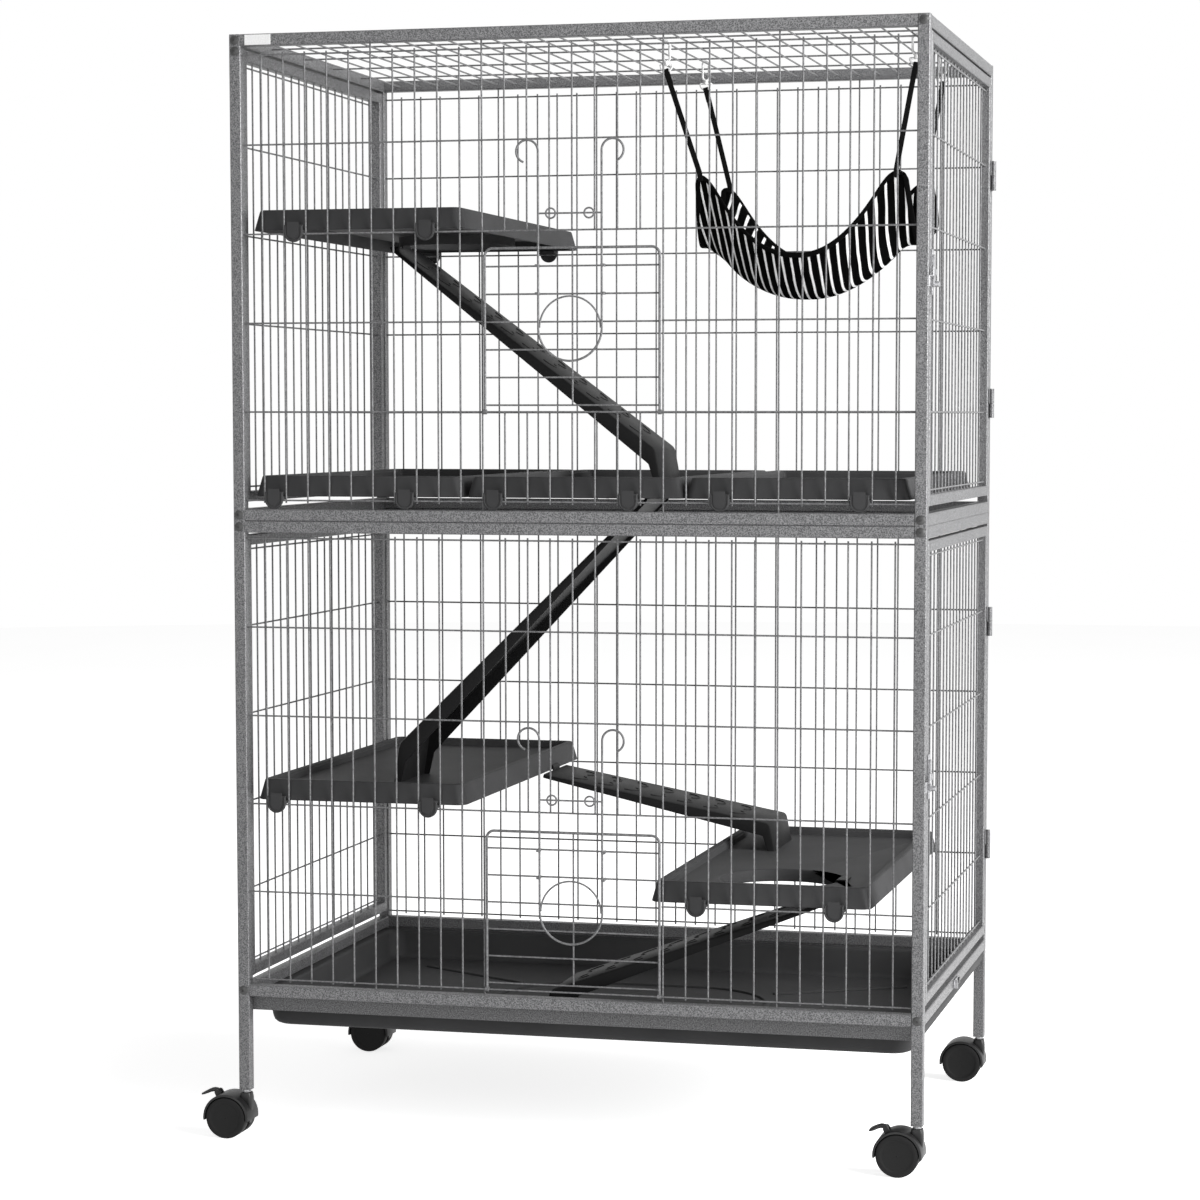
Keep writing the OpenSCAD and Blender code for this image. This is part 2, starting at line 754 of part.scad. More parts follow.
// A tray with its skirt's edge at z; hole is 0, or -1 or 1 for the end that has the hole
module tray(x, z, hole) {
    f = 2 * tray_flare;
    w = 2 * tray_wall;
    rim = 2 * tray_rim;
    color(plastic) translate([x, 0, z]) difference() {
        union() {
            difference() {
                flared(tray_w, tray_l, tray_w - f, tray_l - f, tray_corner_r, tray_h);
                translate([0, 0, floor_up])
                    flared(tray_w - f - rim - 3, tray_l - f - rim - 3,
                        tray_w - f - rim, tray_l - f - rim, 5, tray_sink + 1);
                translate([0, 0, -0.01]) flared(tray_w - w, tray_l - w, tray_w - w - f * 0.6,
                    tray_l - w - f * 0.6, tray_corner_r - 2, floor_up - tray_wall);
            }
            if (hole != 0) translate([0, hole * hole_y, 0])
                cylinder(r = hole_r + tray_wall, h = floor_up, $fn = 96);
        }
        if (hole != 0) translate([0, hole * hole_y, -1]) cylinder(r = hole_r, h = tray_h + 2, $fn = 96);
    }
}

module tray_lower_left() {
    slot_z = left_tray_z + 4;
    color(plastic) difference() {
        tray(-tray_x, left_tray_z, 0);
        translate([-tray_x + tray_w / 2 - 12, bridge_y - 16, slot_z]) cube([20, 32, 4]);
    }
}

// Centre of the gap between upright wires j and j + 1, counted from the middle
function gap_x(j) = (j + 0.5) * pitch;

// One hook: an arm over the wire at z and a rounded tongue in front of it
module tray_hook(x, sy, z) {
    face = level_y + wire_r + hook_gap;
    arm = 7;
    translate([x, 0, z]) {
        translate([-hook_w / 2, sy > 0 ? tray_l / 2 - 6 : -face - 1, wire_r + cross_gap])
            cube([hook_w, face - tray_l / 2 + 7, tray_over_wire - wire_r - 2 * cross_gap]);
        translate([0, sy > 0 ? face + hook_t : -face, 0]) rotate([90, 0, 0]) linear_extrude(hook_t) {
            translate([-hook_w / 2, -hook_drop + hook_w / 2])
                square([hook_w, hook_drop - hook_w / 2 + arm + 3]);
            translate([0, -hook_drop + hook_w / 2]) circle(r = hook_w / 2, $fn = 48);
        }
        translate([0, sy > 0 ? face + hook_t + 0.8 : -face - hook_t, 0]) rotate([90, 0, 0])
            linear_extrude(0.8) {
                translate([-hook_w / 2 + 4, -hook_drop + hook_w / 2]) square([hook_w - 8, 12]);
                translate([0, -hook_drop + hook_w / 2]) circle(r = hook_w / 2 - 4, $fn = 48);
            }
    }
}

module tray_hooks() {
    floor_steps = [-half_gaps, -half_gaps + 6, -4, 2, half_gaps - 8, half_gaps - 2];
    color(plastic) for (sy = [-1, 1]) {
        for (j = floor_steps) tray_hook(gap_x(j), sy, upper_level(0));
        for (j = [-half_gaps + 1, -half_gaps + 7]) tray_hook(gap_x(j), sy, upper_level(3));
        for (j = [-half_gaps, -half_gaps + 7]) tray_hook(gap_x(j), sy, lower_level(2));
        for (j = [half_gaps - 9, half_gaps - 3]) tray_hook(gap_x(j), sy, lower_level(1));
    }
}

// ---- Ramps ----

// A ramp of length l whose deck starts at [x, z] and comes down towards side s, to a lower
// end that is knee above the level foot_z, where its foot stands
module ramp(x, y, z, s, l, foot_z, knee) {
    drop = z - foot_z - knee;
    run = sqrt(l * l - drop * drop);
    a = atan2(drop, run);
    foot_out = 7;
    color(black) translate([x, y, z]) scale([s, 1, 1]) {
        rotate([90, 0, 0]) translate([0, 0, -ramp_w / 2]) linear_extrude(ramp_w)
            polygon([[0, 0], [run, -drop], [run + foot_out, -drop - knee],
                [run + foot_out - ramp_t, -drop - knee],
                [run - ramp_t * 0.8, -drop - ramp_t * 0.8], [0, -ramp_t / cos(a)]]);
        for (sy = [-1, 1]) translate([0, sy * (ramp_w - ramp_wall) / 2 + ramp_wall / 2, 0])
            rotate([90, 0, 0]) linear_extrude(ramp_wall)
                polygon([[0, 0], [run, -drop], [run + foot_out, -drop - knee],
                    [run + foot_out - 9, -drop - knee],
                    [run - 8, -drop - ramp_wall_foot / cos(a)], [0, -ramp_wall_top / cos(a)]]);
        rotate([0, a, 0]) for (i = [1 : floor(l / tread_pitch) - 1], sy = [-1, 1])
            translate([i * tread_pitch, sy * 21, -0.5]) rotate([0, 0, sy * 18]) tread();
    }
}

module tread() {
    difference() {
        cylinder(r = 15, h = 1.5, $fn = 48);
        translate([0, 0, -1]) cylinder(r = 12.6, h = 4, $fn = 48);
        translate([-40, -20, -1]) cube([42, 40, 4]);
    }
}

// A tongue that rises inside a tray's hole and laps over the floor at the hole's edge
module ramp_hook(x, y, z, s, floor_z) {
    inset = 4;
    w = 28;
    t = 2;
    lap = 12;
    color(black) translate([x, y - w / 2, z]) scale([s, 1, 1]) {
        translate([0, 0, -2]) cube([t, w, floor_z - z + 2 + flat + t]);
        translate([-lap, 0, floor_z - z + flat]) cube([lap + t, w, t]);
    }
}

module ramp_upper() {
    ramp(-tray_x - hook_in, hole_y, high_tray_z - 0.4, 1, ramp_upper_l,
        mid_tray_z + floor_up + flat, ramp_upper_knee);
    ramp_hook(-tray_x - hook_in, hole_y, high_tray_z - 0.4, 1, high_tray_z + floor_up);
}

module ramp_middle() {
    ramp(hook_in, -hole_y, mid_tray_z - 0.4, -1, ramp_middle_l,
        left_tray_z + floor_up + flat, ramp_middle_knee);
    ramp_hook(hook_in, -hole_y, mid_tray_z - 0.4, -1, mid_tray_z + floor_up);
}

module ramp_bridge() {
    x = -tray_x + tray_w / 2 + 0.4;
    top = left_tray_z + 4.3;
    ramp(x, bridge_y, left_tray_z - 1, 1, ramp_bridge_l,
        low_tray_z + floor_up + flat, ramp_bridge_knee);
    color(black) translate([x, bridge_y - 14, 0]) {
        translate([0, 0, left_tray_z - 3]) cube([2, 28, 9.3]);
        translate([-8, 0, top]) cube([10, 28, 2]);
        translate([-8, 0, top]) cube([2, 28, 5]);
    }
}

module ramp_lower() {
    ramp(low_tray_x + hook_in, -hole_y, low_tray_z - 0.4, -1, ramp_lower_l,
        pan_floor + pan_line_h + flat, ramp_lower_knee);
    ramp_hook(low_tray_x + hook_in, -hole_y, low_tray_z - 0.4, -1, low_tray_z + floor_up);
}

// ---- Pan ----

module rounded_rect(l, w, r) {
    translate([-l / 2 + r, -w / 2]) square([l - 2 * r, w]);
    translate([-l / 2, -w / 2 + r]) square([l, w - 2 * r]);
    for (sx = [-1, 1], sy = [-1, 1]) translate([sx * (l / 2 - r), sy * (w / 2 - r)])
        circle(r = r, $fn = 48);
}

module pan_form(inset, h) {
    l = pan_x1 - pan_x0 - 2 * pan_flange - 2 * inset;
    w = 2 * pan_half - 2 * pan_flange - 2 * inset;
    hull() {
        plate_with_corners(l - 2 * pan_slope, w - 2 * pan_slope, pan_corner_r, 0.1);
        translate([0, 0, h - 0.1]) plate_with_corners(l, w, pan_corner_r - 4, 0.1);
    }
}

module pull_out_pan() {
    l = pan_x1 - pan_x0;
    w = 2 * pan_half;
    color(plastic) translate([pan_mid, 0, pan_bottom]) {
        difference() {
            union() {
                pan_form(0, pan_h);
                translate([0, 0, pan_h - pan_wall]) linear_extrude(pan_wall) rounded_rect(l, w, 6);
                translate([0, 0, pan_h - pan_lip]) linear_extrude(pan_lip) difference() {
                    rounded_rect(l, w, 6);
                    rounded_rect(l - 2 * pan_wall, w - 2 * pan_wall, 6 - pan_wall);
                }
            }
            translate([0, 0, pan_wall]) pan_form(pan_wall, pan_h);
        }
        translate([0, 0, pan_wall]) pan_lines();
    }
}

// Raised lines in the pan's floor: an oval ring and four arms towards the corners
module pan_lines() {
    l = pan_oval_l;
    w = pan_oval_w;
    line = pan_line_w;
    linear_extrude(pan_line_h) difference() {
        rounded_rect(l, w, w / 2 - 1);
        rounded_rect(l - 2 * line, w - 2 * line, w / 2 - 1 - line);
    }
    for (sx = [-1, 1], sy = [-1, 1])
        translate([sx * l * 15 / 34, sy * w * 39 / 110, 0]) rotate([0, 0, atan2(sy * 95, sx * 170)])
            translate([10, -line / 2, 0]) cube([pan_arm_l, line, pan_line_h]);
}

module clasp_screw() {
    cylinder(r = pivot_r, h = plate_t + 2 * flat + 0.2);
    translate([0, 0, plate_t + 2 * flat]) cylinder(r = 4, h = 1.6);
}

// Turned level along the rail here, clear of the pan; it hangs down over the pan's lip
module pan_clasp() {
    w = 10;
    color(bright) translate([half_w + flat, 0, rail_z + tube / 2]) rotate([90, 0, 90])
        difference() {
            union() {
                linear_extrude(plate_t) {
                    translate([-clasp_l + w, -w / 2]) square([clasp_l - w, w]);
                    circle(r = w / 2);
                    translate([-clasp_l + w, 0]) circle(r = w / 2);
                }
                translate([-clasp_l + w - 2, -w / 2, 0]) cube([2, w, 5]);
            }
            translate([0, 0, -1]) cylinder(r = pivot_r + pin_gap, h = plate_t + 2);
        }
}

// ---- Hammock ----

// Height of the cloth's middle surface at u, v in -1..1
function cloth_z(u, v) = let (a = 1 - pow(abs(u), 2.4), b = 1 - pow(abs(v), 4))
    corner_z - hem_sag * a - end_sag * b + (hem_sag + end_sag - belly_sag) * a * b;
function cloth_x(u) = hammock_x + u * hammock_w / 2;
function cloth_y(v) = hammock_y + v * hammock_d / 2;

module hammock() {
    n = 14;
    m = 12;
    rows = [for (i = [0 : n]) 2 * i / n - 1];
    cols = [for (j = [0 : m]) let (t = 2 * j / m - 1) sign(t) * pow(abs(t), 0.6)];
    count = (n + 1) * (m + 1);
    top = [for (u = rows, v = cols) [cloth_x(u), cloth_y(v), cloth_z(u, v) + cloth_t / 2]];
    low = [for (u = rows, v = cols)
        [cloth_x(u), cloth_y(v) + v * flap_out, cloth_z(u, v) - cloth_t / 2]];
    at = function (i, j) i * (m + 1) + j;
    color(black) polyhedron(points = concat(top, low), faces = concat(
        [for (i = [0 : n - 1], j = [0 : m - 1]) [at(i, j), at(i, j + 1), at(i + 1, j)]],
        [for (i = [0 : n - 1], j = [0 : m - 1]) [at(i + 1, j), at(i, j + 1), at(i + 1, j + 1)]],
        [for (i = [0 : n - 1], j = [0 : m - 1])
            [count + at(i, j + 1), count + at(i, j), count + at(i + 1, j)]],
        [for (i = [0 : n - 1], j = [0 : m - 1])
            [count + at(i, j + 1), count + at(i + 1, j), count + at(i + 1, j + 1)]],
        [for (i = [0 : n - 1]) [at(i, 0), at(i + 1, 0), count + at(i + 1, 0), count + at(i, 0)]],
        [for (i = [0 : n - 1]) [at(i + 1, m), at(i, m), count + at(i, m), count + at(i + 1, m)]],
        [for (j = [0 : m - 1]) [at(0, j + 1), at(0, j), count + at(0, j), count + at(0, j + 1)]],
        [for (j = [0 : m - 1]) [at(n, j), at(n, j + 1), count + at(n, j + 1), count + at(n, j)]]));
}

// Straps that lie on the hammock's end flaps and run up to the clips
module hammock_straps() {
    seam = 18;
    top = clip_wire_z - clip_drop - flat;
    low = corner_z - seam;
    color(black) for (s = [-1, 1], v = [-1, 1]) {
        x0 = hammock_x + s * (hammock_w / 2 - strap_w);
        dx = clip_mid + s * clip_half - x0;
        translate([x0, strap_y(v), low]) rotate([0, atan2(dx, top - low), 0])
            translate([-strap_w / 2, -strap_t / 2, 0])
                cube([strap_w, strap_t, sqrt(dx * dx + (top - low) * (top - low)) - 0.8]);
    }
}
function strap_y(v) = hammock_y + v * (hammock_d / 2 + flap_out + flat + strap_t / 2);

// A snap hook: a long loop over the wire, a swivel and a half-round ring for the strap
module hammock_clips() {
    up = wire_r + clip_r + flat - loop_r;
    ring_z = -clip_drop + ring_r + clip_r;
    side = up - loop_r - ring_z - 4;
    color("white") for (s = [-1, 1], v = [-1, 1])
        translate([clip_mid + s * clip_half, strap_y(v), clip_wire_z]) rotate([90, 0, 0]) {
            translate([0, up, 0]) {
                bend(loop_r, clip_r, 180);
                for (sx = [-1, 1]) translate([sx * loop_r, -side, 0]) rotate([-90, 0, 0])
                    cylinder(r = clip_r, h = side);
                translate([0, -side, 0]) rotate([0, 0, 180]) bend(loop_r, clip_r, 180);
            }
            translate([0, ring_z + 4, 0]) rotate([90, 0, 0]) cylinder(r = 2.6, h = 4);
            translate([-ring_r, ring_z, 0]) rotate([0, 90, 0]) cylinder(r = clip_r, h = 2 * ring_r);
            translate([0, ring_z, 0]) rotate([0, 0, 180]) bend(ring_r, clip_r, 180);
            for (sx = [-1, 1]) translate([sx * ring_r, ring_z, 0]) sphere(r = clip_r);
        }
}

// ---- Casters ----

module caster(sx, sy) {
    translate([sx * mid_x - caster_trail, sy * mid_y, wheel_r]) {
        color(plastic) difference() {
            union() {
                rotate([90, 0, 0]) translate([0, 0, -caster_w / 2]) linear_extrude(caster_w)
                    difference() {
                        circle(r = hood_r, $fn = 96);
                        circle(r = hood_inner_r, $fn = 96);
                        translate([-hood_r - 1, -hood_r - 1]) square([2 * hood_r + 2, hood_r - 2]);
                    }
                rotate([90, 0, 0]) translate([0, 0, -web_t / 2]) linear_extrude(web_t) difference() {
                    circle(r = hood_inner_r + 0.5, $fn = 96);
                    translate([-hood_r - 1, -hood_r - 1]) square([2 * hood_r + 2, hood_r - 7]);
                }
                caster_neck();
                if (sy < 0) for (s = [-1, 1]) brake_lug(s);
            }
            wire_y(-caster_w, caster_w, 0, 0, axle_r + pin_gap);
        }
        color(bright) translate([caster_trail, 0, hood_r + 1.2])
            cylinder(r = stem_r, h = stem_gap + plug_l - 2);
    }
}

// The post round the stem, cut back to the hood on both sides of the web
module caster_neck() {
    difference() {
        translate([caster_trail, 0, 8]) cylinder(r = stem_r + 2, h = hood_r + 1.4 - 8);
        for (s = [-1, 1]) wire_y(s * caster_w / 2 - (caster_w - web_t) / 2,
            s * caster_w / 2 + (caster_w - web_t) / 2, 0, 0, hood_inner_r + hood_wall / 3);
    }
}

module brake_lug(s) {
    t = 2.5;
    foot = brake_r - hood_inner_r - 0.5;
    translate([brake_pivot[0], s * 5 + t / 2, brake_pivot[1]]) rotate([90, 0, 0])
        linear_extrude(t) difference() {
            union() {
                circle(r = brake_lug_r, $fn = 48);
                rotate(brake_a) translate([-foot, -brake_lug_r]) square([foot, 2 * brake_lug_r]);
            }
            circle(r = brake_pin_r + pin_gap, $fn = 48);
        }
}

module wheels(sx, sy) {
    inner = web_t / 2 + web_gap;
    color(plastic) translate([sx * mid_x - caster_trail, sy * mid_y, wheel_r]) rotate([90, 0, 0]) {
        for (s = [0, 180]) rotate([0, s, 0]) translate([0, 0, inner]) difference() {
            cylinder(r = wheel_r, h = wheel_w, $fn = 96);
            translate([0, 0, wheel_w - 1]) difference() {
                cylinder(r = wheel_r - 2.2, h = 2, $fn = 96);
                cylinder(r = wheel_r - 4, h = 3, $fn = 96);
            }
        }
        translate([0, 0, -inner - 1]) cylinder(r = axle_r, h = 2 * inner + 2);
    }
}

// Toe tab on a pin through the hood's two lugs
module brake(sx) {
    px = sx * mid_x - caster_trail + brake_pivot[0];
    color(black) translate([px, -mid_y, wheel_r + brake_pivot[1]]) {
        wire_y(-6.2, 6.2, 0, 0, brake_pin_r);
        translate([0, 3.5, 0]) rotate([90, 0, 0]) linear_extrude(7) {
            circle(r = 3);
            polygon([[-1, 2.8], [2.6, 1.4], [1, -1.6], [-7, -3.2], [-16.5, -2.8],
                [-16.5, 0.8], [-8, 1]]);
        }
        translate([-18, -9, -2.8]) cube([5, 18, 3.6]);
    }
}

post(-1, -1);  // post_front_left
post(1, -1);  // post_front_right
post(-1, 1);  // post_back_left
post(1, 1);  // post_back_right
top_rails();
middle_rails();
bottom_rails();
pan_runners();
leg_plugs();
top_grid();
front_grid_upper();
front_grid_lower();
back_grids();
left_frames();
left_grids();
side_frame(1, door_half, upper_z0 + side_gap_bottom);  // side_door_frame_upper
side_frame(1, door_half, lower_z0 + side_gap_bottom);  // side_door_frame_lower
side_grid(1, door_half, upper_z0 + side_gap_bottom, all_levels());  // side_door_grid_upper
side_grid(1, door_half, lower_z0 + side_gap_bottom, all_levels());  // side_door_grid_lower
hinge_post_leaves();
hinge_door_leaves(upper_z0);  // hinge_door_leaves_upper
hinge_door_leaves(lower_z0);  // hinge_door_leaves_lower
latch_plate(upper_z0);  // latch_plate_upper
latch_plate(lower_z0);  // latch_plate_lower
latch_lever(upper_z0);  // latch_lever_upper
latch_lever(lower_z0);  // latch_lever_lower
latch_keepers();
front_door(upper_level(1));  // front_door_upper
front_door(lower_level(0));  // front_door_lower
front_slider(upper_level(1));  // front_slider_upper
front_slider(lower_level(0));  // front_slider_lower
tray(-tray_x, high_tray_z, 1);  // tray_upper_left
tray(-tray_x, mid_tray_z, 0);  // tray_floor_left
tray(0, mid_tray_z, -1);  // tray_floor_middle
tray(tray_x, mid_tray_z, 0);  // tray_floor_right
tray_lower_left();
tray(low_tray_x, low_tray_z, -1);  // tray_lower_right
tray_hooks();
ramp_upper();
ramp_middle();
ramp_bridge();
ramp_lower();
pull_out_pan();
pan_clasp();
hammock();
hammock_straps();
hammock_clips();
frame_bolts();
label_plate();
caster(-1, -1);  // caster_front_left
caster(1, -1);  // caster_front_right
caster(-1, 1);  // caster_back_left
caster(1, 1);  // caster_back_right
wheels(-1, -1);  // wheels_front_left
wheels(1, -1);  // wheels_front_right
wheels(-1, 1);  // wheels_back_left
wheels(1, 1);  // wheels_back_right
brake(-1);  // brake_front_left
brake(1);  // brake_front_right
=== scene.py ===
"""Ferret cage: paint, plastic, cloth and studio round the CAD frame."""

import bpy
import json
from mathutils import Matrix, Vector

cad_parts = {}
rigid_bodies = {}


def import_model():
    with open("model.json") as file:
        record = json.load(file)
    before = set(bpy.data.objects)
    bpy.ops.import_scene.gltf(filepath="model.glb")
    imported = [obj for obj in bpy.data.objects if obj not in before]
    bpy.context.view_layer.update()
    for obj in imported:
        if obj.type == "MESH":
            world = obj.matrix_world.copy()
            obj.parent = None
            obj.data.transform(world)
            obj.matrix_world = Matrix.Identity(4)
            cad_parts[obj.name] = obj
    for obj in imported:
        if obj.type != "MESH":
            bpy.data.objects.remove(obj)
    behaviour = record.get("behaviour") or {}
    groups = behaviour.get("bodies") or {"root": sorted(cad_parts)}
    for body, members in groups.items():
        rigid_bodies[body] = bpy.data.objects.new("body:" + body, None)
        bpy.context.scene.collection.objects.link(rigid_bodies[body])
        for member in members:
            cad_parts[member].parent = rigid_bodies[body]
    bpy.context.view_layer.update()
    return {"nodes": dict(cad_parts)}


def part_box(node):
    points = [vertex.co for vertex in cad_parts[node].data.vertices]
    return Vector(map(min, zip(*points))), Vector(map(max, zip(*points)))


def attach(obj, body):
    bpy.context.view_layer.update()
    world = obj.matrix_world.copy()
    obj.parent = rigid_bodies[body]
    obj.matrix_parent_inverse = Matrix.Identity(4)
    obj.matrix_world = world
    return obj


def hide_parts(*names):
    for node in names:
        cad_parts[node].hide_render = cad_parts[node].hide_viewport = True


bl_info = {
    "name": "Ferret cage",
    "version": (1, 0, 0),
    "blender": (4, 5, 0),
    "location": "3D View > Sidebar > Cage",
    "description": "Trays, ramps, pan, hammock, casters and finishes of a two-storey wire cage",
    "category": "Add Mesh",
}

import json
from math import asin, atan2, copysign, cos, exp, hypot, log, pi, radians, sin, sqrt

import bmesh
import bpy
from bpy.props import FloatProperty, FloatVectorProperty, PointerProperty
from mathutils import Vector, noise

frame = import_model()

MM = 0.001
CORNERS = {"front_left": (-1, -1), "front_right": (1, -1), "back_left": (-1, 1),
           "back_right": (1, 1)}


# ---- Settings ----

def colour(name, text, value):
    return FloatVectorProperty(name=name, description=text, default=value, min=0, max=1,
                               size=3, subtype="COLOR")


def length(name, text, value, low, high):
    return FloatProperty(name=name, description=text, default=value * MM, min=low * MM,
                         max=high * MM, unit="LENGTH", subtype="DISTANCE", precision=4)


class CageSettings(bpy.types.PropertyGroup):
    paint_light: colour("Paint, light", "Light flecks of the hammered paint", (0.19, 0.19, 0.194))
    paint_dark: colour("Paint, dark", "Dark hollows of the hammered paint", (0.036, 0.036, 0.038))
    fleck: length("Fleck", "Size of one fleck of the paint", 1.3, 0.5, 5)
    wire_colour: colour("Wire", "Colour of the painted wires", (0.13, 0.13, 0.133))
    tray_colour: colour("Trays", "Colour of the trays, hooks and pan", (0.044, 0.044, 0.045))
    ramp_colour: colour("Ramps", "Colour of the ramps", (0.007, 0.007, 0.0072))
    caster_colour: colour("Casters", "Colour of the caster housings", (0.008, 0.008, 0.0082))
    wheel_colour: colour("Wheels", "Colour of the wheels", (0.009, 0.009, 0.009))
    cloth_colour: colour("Cloth", "Ground colour of the hammock", (0.002, 0.002, 0.002))
    stripe_colour: colour("Stripes", "Colour of the hammock's stripes", (0.82, 0.82, 0.82))
    stripe_pitch: length("Stripe pitch", "Distance between the stripes", 12, 4, 40)
    stripe_share: FloatProperty(name="Stripe share", description="Stripe width over pitch",
                                default=0.25, min=0.05, max=0.9)
    stripe_slant: FloatProperty(name="Stripe slant", description="Sideways run of a stripe "
                                "over the cloth's depth", default=0.15, min=-1, max=1)
    wrinkle: length("Wrinkles", "Height of the cloth's folds near the corners", 1.2, 0, 6)
    tread_height: length("Treads", "Height of the treads above a ramp's deck", 1.0, 0.3, 2)


# ---- Mesh building, in millimetres ----

class Skin:
    """Points and faces of one piece, gathered ring by ring."""

    def __init__(self):
        self.verts = []
        self.faces = []

    def ring(self, points):
        start = len(self.verts)
        self.verts.extend(Vector(p) for p in points)
        return list(range(start, len(self.verts)))

    def band(self, a, b):
        for i in range(len(a)):
            j = (i + 1) % len(a)
            self.faces.append((a[i], a[j], b[j], b[i]))

    def loft(self, rings, ends=True, looped=False):
        """Joins ring to ring; the ends are filled, left open, or joined."""
        made = [self.ring(r) for r in rings]
        for a, b in zip(made, made[1:]):
            self.band(a, b)
        if looped:
            self.band(made[-1], made[0])
        elif ends:
            self.faces.append(tuple(made[0]))
            self.faces.append(tuple(reversed(made[-1])))
        return made


def rect_ring(half_x, half_y, r, z, cx, cy, n=7):
    """A level rectangle with rounded corners."""
    points = []
    for k, (sx, sy) in enumerate(((1, 1), (-1, 1), (-1, -1), (1, -1))):
        for i in range(n + 1):
            a = pi / 2 * (k + i / n)
            points.append((cx + sx * (half_x - r) + r * cos(a),
                           cy + sy * (half_y - r) + r * sin(a), z))
    return points


def turns(n):
    """The cosine and the sine of n equal steps round a circle."""
    return [(cos(2 * pi * i / n), sin(2 * pi * i / n)) for i in range(n)]


def circle_ring(r, z, cx, cy, n=72):
    return [(cx + r * c, cy + r * s, z) for c, s in turns(n)]


def stitch(skin, outer, inner, cx, cy):
    """Fills the flat ground between an outer ring and a hole's, both seen from (cx, cy)."""
    def angles(ids):
        seen = sorted((atan2(skin.verts[i].y - cy, skin.verts[i].x - cx), i) for i in ids)
        return seen + [(seen[0][0] + 2 * pi, seen[0][1])]
    a, b = angles(outer), angles(inner)
    i = j = 0
    while i < len(a) - 1 or j < len(b) - 1:
        if j == len(b) - 1 or (i < len(a) - 1 and a[i + 1][0] <= b[j + 1][0]):
            skin.faces.append((a[i][1], a[i + 1][1], b[j][1]))
            i += 1
        else:
            skin.faces.append((a[i][1], b[j + 1][1], b[j][1]))
            j += 1


def forward(points, i, looped=False):
    """The direction of a path at one of its points."""
    n = len(points)
    a = points[i - 1] if looped or i else points[0]
    b = points[(i + 1) % n] if looped or i < n - 1 else points[-1]
    return (b - a).normalized()


def frames(path, looped):
    """Each point of a path with its forward, side and up directions, without twist."""
    pts = [Vector(p) for p in path]
    tangents = [forward(pts, i, looped) for i in range(len(pts))]
    side = tangents[0].orthogonal().normalized()
    out = []
    for p, t in zip(pts, tangents):
        side = (side - t * side.dot(t)).normalized()
        out.append((p, t, side, t.cross(side)))
    return out


# A rod's domed end: how far out and how wide each ring is, over the rod's radius
DOME = ((0.95, 0.3), (0.7, 0.71))


def tube(skin, path, r, n, looped=False):
    """A round rod with n sides along a path; an open one gets domed ends."""
    made = frames(path, looped)

    def ring(p, side, up, radius):
        return [p + side * radius * c + up * radius * s for c, s in turns(n)]
    rings = [ring(p, side, up, r) for p, t, side, up in made]
    if not looped:
        p, t, side, up = made[0]
        first = [ring(p - t * r * d, side, up, r * w) for d, w in DOME]
        p, t, side, up = made[-1]
        last = [ring(p + t * r * d, side, up, r * w) for d, w in reversed(DOME)]
        rings = first + rings + last
    skin.loft(rings, looped=looped)


def ribbon(skin, path, across, w, t):
    """A flat band along a path, w wide in the direction across and t thick."""
    across = Vector(across).normalized()
    pts = [Vector(p) for p in path]
    e = min(t * 0.3, w * 0.2)
    x, y = w / 2, t / 2
    section = ((-x, e - y), (e - x, -y), (x - e, -y), (x, e - y),
               (x, y - e), (x - e, y), (e - x, y), (-x, y - e))
    rings = []
    for i, p in enumerate(pts):
        along = forward(pts, i)
        side = (across - along * across.dot(along)).normalized()
        up = along.cross(side)
        rings.append([p + side * a + up * b for a, b in section])
    skin.loft(rings)


def lathe_y(skin, profile, centre, n, a0=0.0, a1=2 * pi):
    """Turns a closed outline of (radius, y) points about an axle along Y."""
    cx, cy, cz = centre
    full = a1 - a0 == 2 * pi
    rings = []
    for i in range(n if full else n + 1):
        a = a0 + (a1 - a0) * i / n
        rings.append([(cx + r * cos(a), cy + y, cz + r * sin(a)) for r, y in profile])
    skin.loft(rings, looped=full)


def pin_y(skin, centre, r, half, n):
    """A round pin along Y, half its length to each side of its centre."""
    cx, cy, cz = centre
    skin.loft([[(cx + r * c, cy + y, cz + r * s) for c, s in turns(n)] for y in (-half, half)])


def arc(cx, cz, r, a0, a1, n, y=0.0):
    """Points on an arc in the upright plane at y; angles in degrees."""
    out = []
    for i in range(n + 1):
        a = radians(a0 + (a1 - a0) * i / n)
        out.append(Vector((cx + r * cos(a), y, cz + r * sin(a))))
    return out


def piece(name, skin, material, body, replaces=(), sharp=38.0, uvs=None):
    """Makes the object, smooths it, and gives it its body."""
    mesh = bpy.data.meshes.new(name)
    mesh.from_pydata([v * MM for v in skin.verts], [], skin.faces)
    if uvs:
        layer = mesh.uv_layers.new(name="cloth")
        for loop in mesh.loops:
            layer.data[loop.index].uv = uvs[loop.vertex_index]
    bm = bmesh.new()
    bm.from_mesh(mesh)
    bmesh.ops.recalc_face_normals(bm, faces=bm.faces)
    bm.to_mesh(mesh)
    bm.free()
    mesh.shade_smooth()
    mesh.set_sharp_from_angle(angle=radians(sharp))
    mesh.materials.append(material)
    obj = bpy.data.objects.new(name, mesh)
    bpy.context.scene.collection.objects.link(obj)
    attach(obj, body)
    if replaces:
        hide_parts(*replaces)
    return obj


# ---- Materials ----

# The range that most of a noise lies in
LOW, HIGH = 0.3, 0.7
# The colour sockets of a Mix node
MIX_A, MIX_B, MIX_OUT = 6, 7, 2


